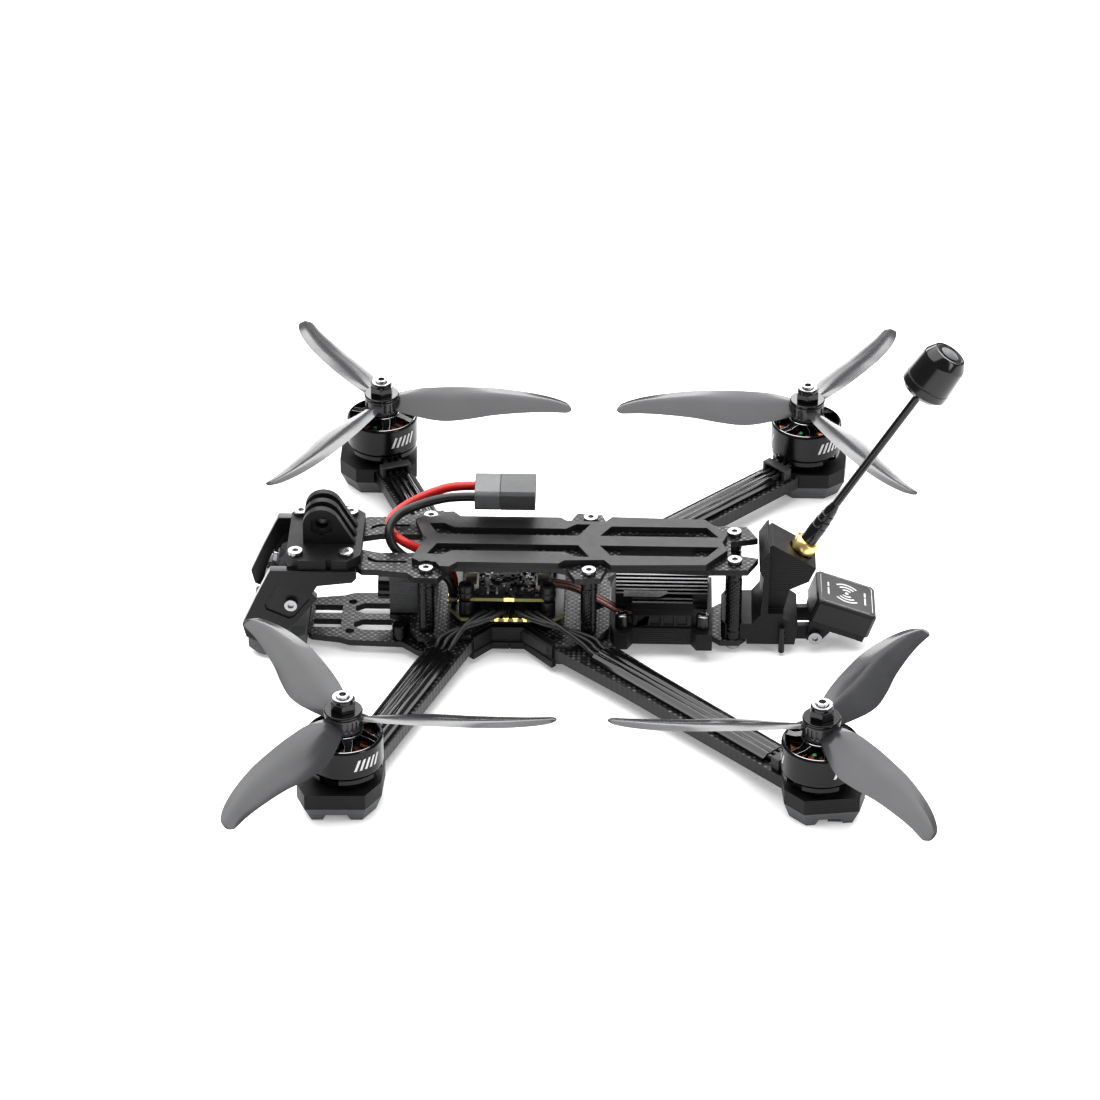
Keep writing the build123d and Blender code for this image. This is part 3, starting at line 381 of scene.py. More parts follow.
# a finish and the width of the rounded edges for each node
DRESSED = {
    "bottom_plate": ("carbon", 0.2),
    "mid_plate": ("carbon", 0.2),
    "top_plate": ("carbon", 0.25),
    "front_arms": ("carbon_front", 0.35),
    "rear_arms": ("carbon_rear", 0.35),
    "camera_plates": ("anodised", 0.5),
    "camera_plate_inserts": ("black_plastic", 0.25),
    "side_bumpers": ("soft_black", 0.3),
    "arm_end_guards": ("soft_black", 0.3),
    "battery_pad": ("soft_pad", 0.3),
    "action_camera_mount": ("soft_black", 0.3),
    "vtx_tray": ("soft_black", 0.3),
    "rear_mount": ("soft_black", 0.4),
    "gps_bracket": ("soft_black", 0.2),
    "nose_bumper": ("soft_grey", 0.4),
    "landing_feet": ("soft_grey", 0.3),
    "motor_wire_guards": ("soft_light", 0.3),
    "capacitor_holder": ("soft_grey", 0.4),
    "frame_screws": ("steel", 0.15),
    "board_screws": ("dark_steel", 0.1),
    "motor_screws": ("dark_steel", 0.1),
    "gps_pivot_bolt": ("steel", 0.15),
    "camera_pivot_screws": ("bright", 0.15),
    "fpv_camera_case": ("black_plastic", 0.3),
    "fpv_camera_lens": ("lens", 0.1),
    "capacitor": ("gloss_black", 0.5),
    "boot_button": ("black_plastic", 0.1),
    "stack_grommets": ("black_plastic", 0.3),
    "vtx_module": ("black_plastic", 0.2),
    "vtx_heatsink": ("sink", 0.12),
    "antenna_socket": ("gold", 0),
    "receiver_antennas": ("black_plastic", 0.1),
    "gps_case": ("black_plastic", 0.3),
    "plug_body": ("dark_grey", 0.3),
    "plug_cover": ("grey_plastic", 0.4),
    "motor_bases": ("anodised", 0.15),
    "motor_stators": ("lamination", 0),
    "motor_bearings": ("steel", 0.1),
}
for node, (finish, bevel) in DRESSED.items():
    dress(node, finish, bevel)


# ---------------------------------------------------------------- building new pieces
def piece(name, verts, faces, finish, body="root", slot=None, replaces=(), smooth=True, bevel=0.0):
    """A mesh piece from points in millimetres that rides a body and can stand for CAD nodes."""
    mesh = bpy.data.meshes.new(name)
    mesh.from_pydata([tuple(c * MM for c in v) for v in verts], [], faces)
    work = bmesh.new()
    work.from_mesh(mesh)
    bmesh.ops.remove_doubles(work, verts=work.verts, dist=1e-7)
    bmesh.ops.recalc_face_normals(work, faces=work.faces)
    work.to_mesh(mesh)
    work.free()
    obj = bpy.data.objects.new(name, mesh)
    bpy.context.scene.collection.objects.link(obj)
    mesh.materials.append(MATERIALS[finish])
    for polygon in mesh.polygons:
        polygon.use_smooth = smooth
    if bevel:
        round_edges(obj, bevel)
        obj.modifiers.new("normals", "WEIGHTED_NORMAL").keep_sharp = True
    elif smooth:
        mesh.set_sharp_from_angle(angle=radians(38))
    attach(obj, body)
    if replaces:
        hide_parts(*replaces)
    return obj


class Shape:
    """Points and faces gathered from simple closed forms, each moved by its own matrix."""

    def __init__(self):
        self.verts, self.faces = [], []

    def take(self, verts, faces, move=None):
        first = len(self.verts)
        if move is not None:
            verts = [move @ Vector(v) for v in verts]
        self.verts += [tuple(v) for v in verts]
        self.faces += [tuple(first + i for i in face) for face in faces]
        return self

    def box(self, x0, x1, y0, y1, z0, z1, move=None):
        """A block between two corners."""
        verts = [(x, y, z) for z in (z0, z1) for y in (y0, y1) for x in (x0, x1)]
        faces = [(0, 2, 3, 1), (4, 5, 7, 6), (0, 1, 5, 4), (2, 6, 7, 3), (0, 4, 6, 2), (1, 3, 7, 5)]
        return self.take(verts, faces, move)

    def prism(self, outline, low, high, move=None):
        """An outline in plan between two heights."""
        n = len(outline)
        verts = [(x, y, z) for z in (low, high) for x, y in outline]
        faces = [tuple(reversed(range(n))), tuple(range(n, 2 * n))]
        faces += [(i, (i + 1) % n, n + (i + 1) % n, n + i) for i in range(n)]
        return self.take(verts, faces, move)

    def loft(self, rings, closed=False, move=None):
        """Closed rings with the same number of points, capped at both ends."""
        n, count = len(rings[0]), len(rings)
        verts = [v for ring in rings for v in ring]
        spans = range(count if closed else count - 1)
        faces = []
        for k in spans:
            here, there = k * n, (k + 1) % count * n
            faces += [(here + i, here + (i + 1) % n, there + (i + 1) % n, there + i) for i in range(n)]
        if not closed:
            faces += [tuple(reversed(range(n))), tuple(range((count - 1) * n, count * n))]
        return self.take(verts, faces, move)

    def lathe(self, profile, segments, move=None):
        """A closed (radius, z) outline turned about Z."""
        n = len(profile)
        turns = [2 * pi * k / segments for k in range(segments)]
        rings = [[(r * cos(a), r * sin(a), z) for r, z in profile] for a in turns]
        verts = [v for ring in rings for v in ring]
        faces = []
        for k in range(segments):
            for i in range(n):
                j, m = (i + 1) % n, (k + 1) % segments
                if profile[i][0] == 0 and profile[j][0] == 0:
                    continue
                corners = [k * n + i, m * n + i, m * n + j, k * n + j]
                if profile[i][0] == 0:
                    corners.pop(1)
                elif profile[j][0] == 0:
                    corners.pop(2)
                faces.append(tuple(corners))
        return self.take(verts, faces, move)

    def tube(self, path, radius, sides, closed=False, move=None):
        """A round tube along a path of points."""
        path = [Vector(p) for p in path]
        rings, count = [], len(path)
        side = None
        for k, point in enumerate(path):
            ahead = path[(k + 1) % count] if closed or k < count - 1 else point
            behind = path[k - 1] if closed or k else point
            along = (ahead - behind).normalized()
            if side is None:
                side = along.orthogonal().normalized()
            side = (side - along * side.dot(along)).normalized()
            other = along.cross(side)
            turns = [2 * pi * i / sides for i in range(sides)]
            rings.append([point + radius * (cos(a) * side + sin(a) * other) for a in turns])
        return self.loft(rings, closed, move)

    def build(self, name, finish, **options):
        return piece(name, self.verts, self.faces, finish, **options)


def shift(x, y, z=0.0, turn=0.0):
    """A move in millimetres after a turn about Z in degrees."""
    return Matrix.Translation((x, y, z)) @ Matrix.Rotation(radians(turn), 4, "Z")


# ---------------------------------------------------------------- motors and propellers
MOTOR_X, MOTOR_Y = 112.68, 84.96
BLADES, SPOKES, MAGNETS, COILS = 3, 6, 14, 12
PROP_MIDDLE, HUB_LOW, HUB_TOP = 35.5, 31.6, 38.4
BLADE_ROOT, TIP_START, TIP_LENGTH, BLADE_LENGTH = 4.6, 73.6, 2.35, 76
CREASE = 0.4                # of the chord, behind the leading edge
SPOKE_TURN = 14             # degrees
BELL_R = 14.1
# radius, leading edge, trailing edge and pitch of a blade
BLADE = np.array([
    (4.6, 3.6, -3.4, 29),
    (9.0, 5.2, -4.9, 27),
    (15.0, 6.7, -6.7, 25),
    (21.0, 7.4, -8.2, 23.5),
    (27.0, 7.9, -8.8, 22),
    (36.0, 8.2, -7.8, 20),
    (45.0, 8.2, -6.1, 18),
    (57.0, 6.9, -4.9, 15),
    (66.0, 4.8, -4.5, 13.5),
    (72.0, 2.4, -4.8, 12.5),
    (75.9, -0.2, -5.0, 12),
])


def smooth_row(radius):
    """The blade table at a radius, by Catmull-Rom."""
    k = int(np.clip(np.searchsorted(BLADE[:, 0], radius) - 1, 0, len(BLADE) - 2))
    low, high = BLADE[k], BLADE[k + 1]
    t = (radius - low[0]) / (high[0] - low[0])
    before, after = BLADE[max(k - 1, 0)], BLADE[min(k + 2, len(BLADE) - 1)]
    slope_low = (high - before) / (high[0] - before[0]) * (high[0] - low[0])
    slope_high = (after - low) / (after[0] - low[0]) * (high[0] - low[0])
    row = (2 * t**3 - 3 * t**2 + 1) * low + (t**3 - 2 * t**2 + t) * slope_low
    return row + (3 * t**2 - 2 * t**3) * high + (t**3 - t**2) * slope_high


def blade_ring(radius, side):
    """A thin cambered section with a crease ahead of the middle."""
    _, lead, trail, pitch = smooth_row(radius)
    tip = max(0.1, sqrt(max(0.0, 1 - (max(0.0, radius - TIP_START) / TIP_LENGTH) ** 2)))
    middle = 0.5 * (lead + trail)
    lead, trail = middle + (lead - middle) * tip, middle + (trail - middle) * tip
    rise = sin(radians(pitch))
    thick = 0.75 - 0.42 * radius / BLADE_LENGTH
    plump = min(1.0, (lead - trail) / 9)
    over = [(k / 8, 1) for k in range(9)]
    under = [(1 - k / 8, -1) for k in range(1, 8)]
    ring = []
    for t, face in over + under:
        u = lead + (trail - lead) * t
        bow = plump * (0.55 * sin(pi * t) + 0.5 * max(0.0, 1 - abs(t - CREASE) / 0.28))
        body = plump * thick * sqrt(max(0.0, t * (1 - t))) * 1.7 + 0.12
        ring.append((side * u, radius, PROP_MIDDLE - 0.35 + u * rise + bow + face * body))
    return ring


def propeller(name, place, side, turn):
    """Three twisted blades on a hub with gripping ribs."""
    radii = [BLADE_ROOT + (TIP_START - BLADE_ROOT) * i / 40 for i in range(41)]
    radii += [TIP_START + 2.3 * sin(pi / 2 * i / 8) for i in range(1, 9)]
    shape = Shape()
    for k in range(BLADES):
        spin = shift(0, 0, 0, turn + 360 / BLADES * k)
        shape.loft([blade_ring(r, side) for r in radii], move=place @ spin)
    hub = [
        (2.56, HUB_LOW), (6.2, HUB_LOW), (6.8, HUB_LOW + 0.6), (6.8, 33.2), (6.3, 33.5),
        (6.3, 37.0), (6.8, 37.3), (6.8, 37.9), (6.3, HUB_TOP), (2.56, HUB_TOP),
    ]
    shape.lathe(hub, 72, place)
    for k in range(BLADES):
        for lean in (-24, -8, 8, 24):
            spin = shift(0, 0, 0, turn + 60 + 360 / BLADES * k + lean)
            shape.box(-0.35, 0.35, 6.0, 6.78, 33.2, 37.3, place @ spin)
    shape.build(
        f"{name}_blades", "smoke", body=f"rotor_{name}", slot="prop_smoke",
        replaces=(f"propeller_{name}",),
    )


def spoke_spins(place):
    return [place @ shift(0, 0, 0, 360 / SPOKES * k + SPOKE_TURN) for k in range(SPOKES)]


def spoke_ring(radius, y0, y1, low, high):
    return [(radius, y0, low), (radius, y1, low), (radius, y1, high), (radius, y0, high)]


def bell(name, place, body):
    """The bell's wall, its boss and six sloping spokes."""
    wall = [
        (13.0, 18.6), (13.4, 18.2), (13.75, 18.25), (14.02, 18.6), (BELL_R, 19.1), (BELL_R, 28.6),
        (13.98, 29.1), (13.5, 29.62), (13.2, 29.7), (12.75, 29.5), (12.6, 29.0), (12.6, 27.6), (13.0, 27.2),
    ]
    boss = [
        (2.0, 27.6), (4.6, 27.9), (5.2, 28.6), (6.3, 29.3), (7.1, 30.3), (7.1, 30.9), (6.6, 31.5),
        (2.5, 31.6), (2.0, 31.2),
    ]
    shape = Shape().lathe(wall, 112, place).lathe(boss, 64, place)
    for spin in spoke_spins(place):
        inner = spoke_ring(6.2, -1.9, 1.9, 28.4, 31.1)
        middle = spoke_ring(9.6, -1.35, 1.35, 28.0, 29.9)
        outer = spoke_ring(13.0, -2.35, 0.35, 27.9, 29.4)
        shape.loft([inner, middle, outer], move=spin)
    shape.build(
        f"{name}_bell", "anodised", body=body, slot="anodised_black",
        replaces=(f"motor_bell_{name}",), bevel=0.12,
    )


def bright_edges(name, place, body):
    """The rim, boss and spoke edges machined bare, and the shaft."""
    shape = Shape()
    shape.lathe([(13.15, 29.62), (13.32, 29.78), (13.5, 29.66), (13.32, 29.5)], 112, place)
    shape.lathe([(6.7, 31.44), (6.85, 31.5), (7.02, 31.36), (6.86, 31.2)], 64, place)
    for spin in spoke_spins(place):
        for sign in (1, -1):
            path = [(6.5, sign * 1.86, 31.02), (9.6, sign * 1.33, 29.88), (12.9, sign * 1.33 - 1, 29.42)]
            shape.tube(path, 0.09, 6, move=spin)
    shaft = [
        (0, 12.7), (1.97, 12.7), (1.97, 31.0), (2.48, 31.4), (2.48, 45.3), (2.3, 45.9), (1.7, 46.0),
        (1.3, 45.9), (1.25, 43.6), (0, 43.5),
    ]
    shape.lathe(shaft, 48, place)
    shape.build(f"{name}_bright_edges", "bright", body=body, slot="machined")


def magnets(name, place, body):
    shape = Shape()
    for k in range(MAGNETS):
        shape.box(12.32, 12.95, -2.45, 2.45, 19.0, 27.0, place @ shift(0, 0, 0, 360 / MAGNETS * k))
    shape.build(f"{name}_magnets", "steel", body=body, slot="laminated_steel", bevel=0.1)


def bell_marks(name, place, body):
    """Three groups of five plain slanted bars round the bell's wall."""
    shape = Shape()
    faces = [(0, 1, 2, 3), (7, 6, 5, 4), (0, 4, 5, 1), (1, 5, 6, 2), (2, 6, 7, 3), (3, 7, 4, 0)]
    for start in (18, 128, 248):
        for k in range(5):
            corners = []
            for z, lean in ((21.6, 0.0), (26.0, 7.0)):
                near, far = (radians(start + 8.5 * k + lean + width) for width in (0.0, 4.2))
                for r, a in ((14.04, near), (14.04, far), (14.13, far), (14.13, near)):
                    corners.append((r * cos(a), r * sin(a), z))
            shape.take(corners, faces, place)
    shape.build(f"{name}_bell_marks", "print_white", body=body, slot="anodised_black", smooth=False)


def lock_nut(name, place, body):
    """A flanged hexagonal nut with its locking collar and a bright ring on top."""
    shape = Shape()
    shape.lathe([(2.53, 38.4), (6.9, 38.4), (7.0, 38.6), (7.0, 39.2), (6.6, 39.6), (2.53, 39.6)], 72, place)
    corner = 8.3 / 2 / cos(pi / 6)
    rings = []
    for z, scale in ((39.6, 0.97), (39.9, 1.0), (42.9, 1.0), (43.5, 0.93)):
        r = corner * scale
        rings.append([(r * cos(pi / 3 * i), r * sin(pi / 3 * i), z) for i in range(6)])
    shape.loft(rings, move=place)
    collar = [(2.53, 43.3), (4.15, 43.3), (4.15, 44.2), (3.9, 44.7), (3.3, 44.75), (2.53, 44.6)]
    shape.lathe(collar, 48, place)
    shape.build(
        f"{name}_nut", "gloss_black", body=body, slot="anodised_black",
        replaces=(f"prop_nut_{name}",), bevel=0.12,
    )
    ring = [(2.54, 44.5), (3.2, 44.65), (3.75, 44.6), (3.95, 44.45), (3.7, 44.9), (3.0, 45.0), (2.54, 44.95)]
    Shape().lathe(ring, 48, place).build(f"{name}_nut_collar", "bright", body=body, slot="machined")


def motor_top(name, place):
    """Everything on a motor that turns, apart from the propeller."""
    body = f"rotor_{name}"
    bell(name, place, body)
    bright_edges(name, place, body)
    magnets(name, place, body)
    bell_marks(name, place, body)
    lock_nut(name, place, body)


def windings():
    """Twelve coils of round wire on each stator, with a dab of green locking resin."""
    copper, resin = Shape(), Shape()
    for x, y in ((sx * MOTOR_X, sy * MOTOR_Y) for sx, sy in CORNERS.values()):
        for k in range(COILS):
            turn = shift(x, y, 0, 360 / COILS * k + 6)
            for i in range(7):
                r = 7.15 + 0.57 * i
                half, low, high = 1.15 + 0.06 * i, 18.9, 27.1
                path = [
                    (r, -half, low + 0.5), (r, -half, high - 0.5),
                    (r, -half + 0.5, high), (r, half - 0.5, high),
                    (r, half, high - 0.5), (r, half, low + 0.5),
                    (r, half - 0.5, low), (r, -half + 0.5, low),
                ]
                copper.tube(path, 0.29, 6, True, turn)
        drop = [(0, 0), (0.9, 0), (0.85, 0.5), (0.5, 0.85), (0, 0.95)]
        for a, r in ((-20, 6.9), (100, 7.0)):
            resin.lathe(drop, 16, shift(x, y, 27.0) @ shift(r * cos(radians(a)), r * sin(radians(a))))
    copper.build("stator_windings", "copper", slot="copper", replaces=("motor_windings",))
    resin.build("winding_resin", "green", slot="copper")


for name, (sx, sy) in CORNERS.items():
    spot = shift(sx * MOTOR_X, sy * MOTOR_Y)
    propeller(name, spot, 1 if sx * sy < 0 else -1, 0 if sy < 0 else 180)
    motor_top(name, spot)
windings()


# ---------------------------------------------------------------- wires
def wire_curve(name, routes, radius, finish, replaces=()):
    """Round wires on smooth lines through millimetre routes."""
    data = bpy.data.curves.new(name, "CURVE")
    data.dimensions = "3D"
    data.bevel_depth = radius * MM
    data.bevel_resolution = 4
    data.resolution_u = 10
    data.use_fill_caps = True
    for route in routes:
        spline = data.splines.new("NURBS")
        spline.points.add(len(route) - 1)
        for point, place in zip(spline.points, route):
            point.co = (*(c * MM for c in place), 1)
        spline.order_u = 3
        spline.use_endpoint_u = True
    data.materials.append(MATERIALS[finish])
    obj = bpy.data.objects.new(name, data)
    bpy.context.scene.collection.objects.link(obj)
    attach(obj, "root")
    if replaces:
        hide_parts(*replaces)
    return obj


RED_ROUTE = [
    (-1.0, -51.0, 18.7), (-1.0, -51.0, 25.5), (0.0, -56.0, 31.5), (1.0, -64.0, 37.3),
    (1.0, -70.8, 40.8), (-4.9, -75.6, 41.8), (-13.2, -75.6, 42.2), (-19.1, -71.0, 43.6),
    (-21.8, -64.5, 46.2), (-23.4, -57.0, 48.9), (-24.0, -50.2, 50.3), (-24.0, -43.5, 50.3),
]
BLACK_ROUTE = [
    (5.5, -51.0, 18.7), (5.5, -51.0, 25.0), (5.2, -55.6, 30.2), (4.7, -63.2, 33.2),
    (4.0, -70.0, 35.6), (3.6, -74.8, 41.4), (-0.8, -75.4, 46.4), (-7.4, -71.8, 47.8),
    (-12.4, -65.6, 48.2), (-15.2, -57.8, 49.4), (-16.0, -50.4, 50.3), (-16.0, -43.5, 50.3),
]
LEAD_R = 1.75
red = wire_curve(
    "battery_lead_red", [RED_ROUTE], LEAD_R, "wire_red", ("battery_wire_red",)
)
black = wire_curve(
    "battery_lead_black", [BLACK_ROUTE], LEAD_R, "wire_black", ("battery_wire_black",)
)


class Arm:
    """The line from an arm's root to its motor: s along it and t across it."""

    def __init__(self, root, front, cover):
        self.root, self.front, self.cover = root, front, cover
        self.end = (MOTOR_X, -MOTOR_Y if front else MOTOR_Y)
        dx, dy = self.end[0] - root[0], self.end[1] - root[1]
        self.length = hypot(dx, dy)
        self.dir = (dx / self.length, dy / self.length)

    def at(self, s, t):
        a, b = self.dir
        return (self.root[0] + s * a - t * b, self.root[1] + s * b + t * a)


ARMS = (Arm((20.0, -49.5), True, (14.0, 79.0)), Arm((20.0, -7.4), False, (18.0, 108.0)))


def motor_wires():
    """Three wires from the board's pads along each arm to its motor."""
    routes = []
    for arm in ARMS:
        start, end = arm.cover
        for k in range(3):
            across = 2.6 * (k - 1)
            pad_y = -31.5 - 3.6 * k if arm.front else -26.6 + 3.6 * (2 - k)
            lean = -5.5 if arm.front else 5.5
            third = (end - start) / 3
            route = [
                (16.8, pad_y, 19.75),
                (22.8, pad_y + lean, 20.0),
                (*arm.at(start - 6.5, 1.25 * across), 15.0),
                (*arm.at(start - 2.3, across), 12.1),
                (*arm.at(start + third, across - 0.25), 12.15),
                (*arm.at(end - third, across + 0.25), 12.15),
                (*arm.at(end + 1, across), 12.15),
                (*arm.at(arm.length - 16.5, across), 12.8),
                (*arm.at(arm.length - 10.8, across), 15.6),
            ]
            routes += [route, [(-x, y, z) for x, y, z in route]]
    wire_curve("motor_leads", routes, 1.0, "wire_black", ("motor_wires",))


def wire_sleeves():
    """The glossy sleeve on each arm, drawn down over its three wires."""
    steps, wire_gap, crown = 30, 2.6, 3.9
    shape = Shape()
    for arm in ARMS:
        start, end = arm.cover
        rings = []
        for i in range(steps + 1):
            s = start + (end - start) * i / steps
            ring = [(-5.4, 11.0), (-5.5, 12.5)]
            for k in range(25):
                t = -4.6 + 9.2 * k / 24
                hump = 0.62 * abs(cos(pi * t / wire_gap)) ** 0.7
                wave = 0.06 * sin(0.35 * s + 1.3 * t)
                slope = 12.9 - 0.3 * (abs(t) - crown)
                ring.append((t, 13.0 + hump + wave if abs(t) < crown else slope))
            ring += [(5.5, 12.5), (5.4, 11.0)]
            rings.append([(*arm.at(s, t), z) for t, z in ring])
        shape.loft(rings)
        shape.loft([[(-x, y, z) for x, y, z in ring] for ring in rings])
    shape.build("arm_wire_sleeves", "cover_gloss", slot="cover_gloss", replaces=("arm_wire_covers",))


motor_wires()
wire_sleeves()
VIDEO_WIRES = ("wire_orange", "print_white", "wire_red", "print_white", "wire_orange", "wire_black")
for k, finish in enumerate(VIDEO_WIRES):
    x = 7.2 + 1.0 * k
    route = [
        (x, -15, 28.6), (x + 0.4, -11, 28.7), (x + 1.4, -4, 27.5), (x + 1.2, 5, 22.0),
        (x, 12, 16.6), (x - 0.5, 19, 15.8),
    ]
    wire_curve(f"video_wire_{k}", [route], 0.42, finish)


# ---------------------------------------------------------------- knurled posts
def post(shape, x, y, low, high, radius):
    """A round post with a crossed knurl between two grooved plain ends."""
    rows, segments = max(8, int((high - low) / 0.42)), 60
    groove = 4.0
    outer = []
    for i in range(rows + 1):
        z = low + (high - low) * i / rows
        edge = min(z - low, high - z)
        plain_end = edge < 1.6 or abs(edge - groove) < 0.7
        ring = []
        for k in range(segments):
            a = 2 * pi * k / segments
            lines = max(cos(10 * a + 3.9 * z), cos(10 * a - 3.9 * z))
            knurl = 0.26 * max(0.0, -0.2 - lines) + 0.14 * (1 - lines) / 2
            turned = 0.3 if abs(edge - groove) < 0.5 else 0.06
            r = radius - (turned if plain_end else knurl) - (0.35 if edge < 0.2 else 0)
            ring.append((x + r * cos(a), y + r * sin(a), z))
        outer.append(ring)
    shape.loft(outer)


FRONT_POSTS = ((14, -71), (-14, -71))
posts = Shape()
for x, y in ((18.8, -60.4), (18.9, 0.47), (10.05, 55.0)):
    for sign in (1, -1):
        post(posts, sign * x, y, 6.0 if y > 50 else 13.0, 36.5, 3.0)
for x, y in FRONT_POSTS:
    post(posts, x, y, 6.0, 12.0, 2.9)
posts.build("knurled_posts", "anodised", slot="anodised_black", replaces=("standoffs",))
inserts = Shape()
for x, y in FRONT_POSTS:
    inserts.lathe([(1.2, 11.6), (2.0, 11.6), (2.05, 12.0), (1.7, 12.0), (1.2, 11.95)], 32, shift(x, y))
inserts.build("post_inserts", "brass", slot="brass")


# ---------------------------------------------------------------- boards
POWER_TOP, CONTROL_TOP = 18.6, 26.0     # upper faces of the two boards
BOARD = 1.6                             # thickness
STACK_X, STACK_YS = 15.25, (-45.5, -15.0)


def board(name, outline, top, replaces):
    """A black board with its lighter core showing along the cut edge."""
    low = top - BOARD
    shape = Shape().prism(outline, low, top)
    shape.build(name, "board_black", slot="board", replaces=replaces, bevel=0.08, smooth=False)
    rim = [(1.000988 * x, 1.004 * (y + 30) - 30) for x, y in outline]
    Shape().prism(rim, low + 0.12, top - 0.12).build(
        f"{name}_core", "board_edge", slot="board", smooth=False
    )


def both(points):
    """A closed outline from its x >= 0 half."""
    return points + [(-x, y) for x, y in reversed(points) if x > 0]


def span(sign, near, far):
    """The two x values of a box on one side of the centre plane, in order."""
    return sorted((sign * near, sign * far))


def power_stage(chips, tin, gold):
    """Transistors, motor pads and battery pads on the lower board."""
    top = POWER_TOP
    for sign in (1, -1):
        for k in range(4):
            y = -39.9 + 6.0 * k
            chips.box(*span(sign, 9.0, 14.6), y, y + 5.0, top, 19.7)
            for i in range(4):
                leg = y + 0.5 + 1.15 * i
                tin.box(*span(sign, 14.6, 15.3), leg, leg + 0.55, top, 18.9)
        for k in range(8):
            y = -42.6 + 3.6 * k
            gold.box(*span(sign, 16.4, 19.45), y, y + 2.3, 18.3, 18.78)
            gold.box(*span(sign, 19.3, 19.48), y + 0.4, y + 1.9, 17.1, 18.7)
    for x in (-1.0, 5.5):
        gold.box(x - 2.6, x + 2.6, -53.1, -49, top, 18.72)
        tin.lathe([(0, top), (2.3, top), (1.9, 19.4), (0, 20.0)], 24, shift(x, -51))


def near_stack(x, y):
    return any(hypot(abs(x) - STACK_X, y - stack_y) < 4 for stack_y in STACK_YS)


def taken(x, y):
    """Where the control board carries its sockets."""
    return 4.6 < x < 12.8 and (y < -40.6 or y > -20)


def loose_chips(chips, cream, tin):
    """Many small parts strewn over both boards, clear of screws, sockets and button."""
    rng = np.random.default_rng(7)
    sizes = ((0.5, 1.0, 0.5), (1.0, 0.5, 0.5), (0.8, 1.6, 0.8), (1.9, 1.9, 0.8), (2.6, 1.4, 1.0))
    control = (CONTROL_TOP, (-14, 16.2), (-46, -14.5), 210)
    power = (POWER_TOP, (-8, 8.4), (-48, -12), 60)
    for top, x_range, y_range, count in (control, power):
        for _ in range(count):
            x, y = rng.uniform(*x_range), rng.uniform(*y_range)
            kind = rng.random()
            w, d, h = sizes[int(kind * 5)]
            by_button = 11 < x and -38.6 < y < -33
            if near_stack(x, y) or (top == CONTROL_TOP and taken(x, y)) or by_button:
                continue
            target = chips if kind > 0.42 else cream if kind > 0.27 else tin
            target.box(x - w / 2, x + w / 2, y - d / 2, y + d / 2, top, top + h)
            if kind <= 0.42:
                x0, x1 = x - w / 2 - 0.12, x + w / 2 + 0.12
                tin.box(x0, x1, y - d / 2 - 0.12, y - d / 2 + 0.14, top, top + h * 0.96)
                tin.box(x0, x1, y + d / 2 - 0.14, y + d / 2 + 0.12, top, top + h * 0.96)


def control_chips(chips, tin):
    """The processor with its legs, a memory chip and the boot button's housing."""
    top = CONTROL_TOP
    chips.box(-3.5, 3.5, -34, -27, top, 27.0)
    for k in range(10):
        for x0, x1 in ((-4.3, -3.5), (3.5, 4.3)):
            tin.box(x0, x1, -33.6 + 0.66 * k, -33.3 + 0.66 * k, top, 26.3)
    chips.box(-9, -5.5, -38, -22, top, 28.4)
    chips.box(11.2, 15.2, -38, -33.6, top, 26.35)
    tin.box(11.4, 15.0, -37.9, -37.05, top, 27.2)
    tin.box(11.4, 15.0, -34.55, -33.7, top, 27.2)


def wire_sockets(cream, tin):
    """Four open wire sockets with six pins each."""
    top, wall = CONTROL_TOP, 0.7
    for x0 in (5.5, -12.0):
        for y0 in (-46.8, -19.5):
            x1, y1 = x0 + 6.5, y0 + 5.7
            cream.box(x0, x1, y0, y0 + wall, top, 30.2)
            cream.box(x0, x1, y1 - wall, y1, top, 30.2)
            cream.box(x0, x0 + wall, y0, y1, top, 30.2)
            cream.box(x1 - wall, x1, y0, y1, top, 28.6)
            cream.box(x0, x1, y0, y1, top, 27.0)
            for k in range(6):
                tin.box(x0 + 1.0 + 0.8 * k, x0 + 1.3 + 0.8 * k, y0 + 1.2, y1 - 1.2, 27.0, 28.4)


def electronics():
    """The two stacked boards and everything soldered to them."""
    power = [
        (0, -53.2), (7.2, -53.2), (7.6, -51.6), (13, -51.6),
        (19.4, -47.5), (19.4, -13), (16, -9), (0, -9),
    ]
    control = [(0, -47.2), (16, -47.2), (16.9, -46.3), (16.9, -14.4), (16, -13.4), (0, -13.4)]
    board("power_board", both(power), POWER_TOP, ("speed_controller",))
    board("control_board", both(control), CONTROL_TOP, ("flight_controller",))
    chips, gold, tin, cream = Shape(), Shape(), Shape(), Shape()
    power_stage(chips, tin, gold)
    loose_chips(chips, cream, tin)
    control_chips(chips, tin)
    wire_sockets(cream, tin)
    gold.box(16.2, 17.0, -31.5, -27.5, 24.5, 26.12)
    chips.build("board_chips", "chip", slot="board", bevel=0.06)
    gold.build("board_pads", "gold", slot="brass", bevel=0.05)
    tin.build("board_pins", "tin", slot="machined", smooth=False)
    cream.build("board_sockets", "connector", slot="board", bevel=0.08)


electronics()


# ---------------------------------------------------------------- antenna, satellite receiver, transmitter
ANTENNA_FOOT, ANTENNA_ANGLE = (0, 82.7, 43.2), 58.7
GPS_CORNER, GPS_TILT, GPS_MIDDLE, GPS_LID = (0, 83.4, 14.5), 19.5, 12, 9.46
TRAY_X, TRAY_YS = 15.25, (12.9, 43.4)


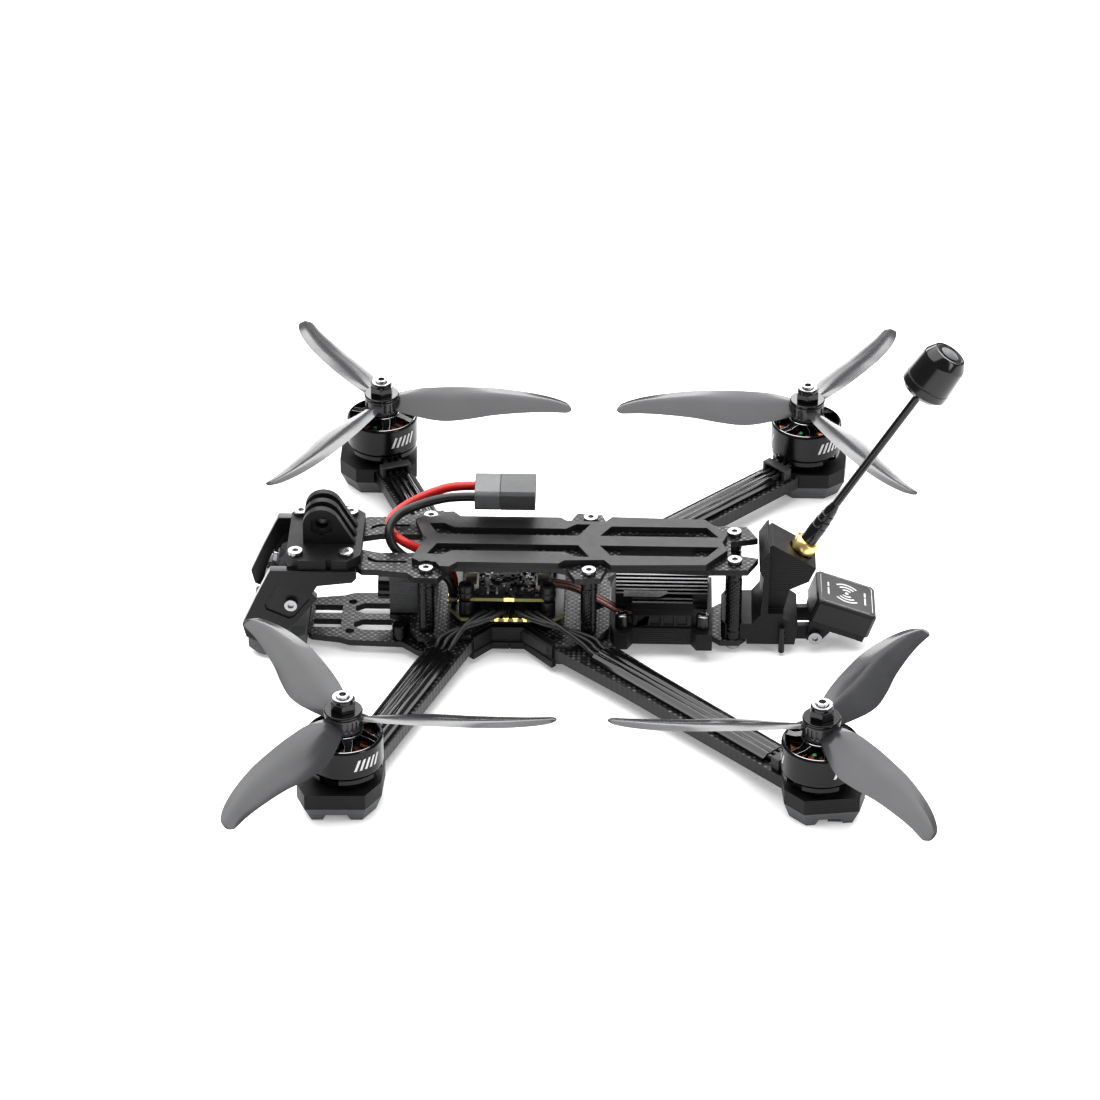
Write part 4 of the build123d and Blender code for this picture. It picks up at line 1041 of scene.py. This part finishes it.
def antenna():
    """A ribbed stem in a stepped sleeve, with a facetted cap and a plain disc on top."""
    lean = Matrix.Rotation(radians(ANTENNA_ANGLE - 90), 4, "X")
    place = Matrix.Translation(ANTENNA_FOOT) @ lean
    sleeve = [
        (0, 0.1), (2.9, 0.1), (3.1, 0.3), (3.1, 7.2), (2.9, 7.5), (2.7, 7.6), (2.7, 8.0), (2.95, 8.1),
        (2.95, 10.4), (2.75, 10.7), (2.45, 10.8), (2.45, 11.2), (2.7, 11.3), (2.65, 13.2), (2.4, 13.5),
        (2.2, 13.6), (2.2, 14.0), (2.4, 14.1), (2.3, 15.6), (2.0, 16.8), (1.7, 18.2),
    ]
    for k in range(63):
        z = 18.4 + 0.9 * k
        sleeve += [(1.62, z), (1.5, z + 0.45)]
    sleeve += [(1.6, 75.4), (0, 75.4)]
    cap = [
        (0, 75.5), (6.9, 75.5), (7.5, 75.8), (9.2, 77.5), (9.3, 78.1), (9.15, 80.6), (8.95, 80.7),
        (8.95, 81.1), (9.1, 81.2), (8.55, 90.6), (8.35, 91.7), (6.6, 94.4), (6.2, 94.75), (5.4, 94.8),
        (5.2, 94.5), (0, 94.4),
    ]
    disc = [(0, 94.42), (3.4, 94.42), (3.6, 94.7), (3.2, 94.95), (0, 95.1)]
    Shape().lathe(sleeve, 40, place).build(
        "antenna_sleeve", "gloss_black", slot="black_plastic", replaces=("antenna_stem",)
    )
    Shape().lathe(cap, 72, place).build(
        "antenna_dome", "gloss_black", slot="black_plastic", replaces=("antenna_cap",), bevel=0.15
    )
    Shape().lathe(disc, 48, place).build("antenna_label", "grey_plastic", slot="grey_plastic")


def wave_icon():
    """A thin frame and a wave sign on the receiver's lid."""
    place = Matrix.Translation(GPS_CORNER) @ Matrix.Rotation(radians(-GPS_TILT), 4, "X")
    top, centre, half_width = GPS_LID, GPS_MIDDLE, 0.4
    lines, frame_line = Shape(), Shape()
    dot = [(0, top), (0.8, top), (0.75, top + 0.14), (0, top + 0.14)]
    lines.lathe(dot, 24, place @ shift(0, centre))
    for radius in (2.2, 4.0, 5.8):
        near, far = radius - half_width, radius + half_width
        for facing in (0, 180):
            arc = [radians(facing - 44 + 88 * k / 16) for k in range(17)]
            inner = [(near * cos(a), centre + near * sin(a)) for a in arc]
            outer = [(far * cos(a), centre + far * sin(a)) for a in reversed(arc)]
            lines.prism(inner + outer, top, top + 0.14, place)
    for y in (4.6, 19.4):
        for x0, x1 in ((-4.2, -1.4), (-0.6, 4.2)):
            lines.box(x0, x1, y - 0.35, y + 0.35, top, top + 0.1, place)
    lines.build("receiver_wave_sign", "print_white", body="gps_mount", slot="grey_plastic", smooth=False)
    corners = [
        (-8.2, 1.7), (8.2, 1.7), (9.4, 2.9), (9.4, 21.1),
        (8.2, 22.3), (-8.2, 22.3), (-9.4, 21.1), (-9.4, 2.9),
    ]
    frame_line.tube([(x, y, top + 0.02) for x, y in corners], 0.2, 6, True, place)
    frame_line.build("receiver_frame_line", "tin", body="gps_mount", slot="grey_plastic", smooth=False)


def tray_screws():
    """Bright button heads on the four black spacers of the transmitter."""
    profile = [
        (0, 18.9), (1.0, 18.9), (1.15, 19.25), (1.9, 19.15), (2.3, 18.8), (2.35, 18.42), (0, 18.42),
    ]
    caps = Shape()
    for x in (TRAY_X, -TRAY_X):
        for y in TRAY_YS:
            caps.lathe(profile, 32, shift(x, y))
    caps.build("tray_screw_heads", "steel", slot="screw_steel")


def heatsink_badge():
    """A plain plate on the fins with a few raised bars."""
    badge = Shape().prism([(8.8, 13.5), (13.2, 13.5), (13.2, 27.0), (10.8, 30.0), (8.8, 30.0)], 24.9, 25.15)
    badge.build("heatsink_plate", "sink", slot="heatsink", bevel=0.05)
    bars = Shape()
    for x, y0, y1 in ((9.6, 15, 28), (12.3, 15, 26)):
        bars.box(x - 0.12, x + 0.12, y0, y1, 25.15, 25.2)
    for y in (15, 17.5, 20, 22.5):
        bars.box(10.3, 11.6, y, y + 1.4, 25.15, 25.2)
    bars.build("heatsink_plate_marks", "grey_plastic", slot="heatsink", smooth=False)


antenna()
wave_icon()
tray_screws()
heatsink_badge()


camera()
studio()
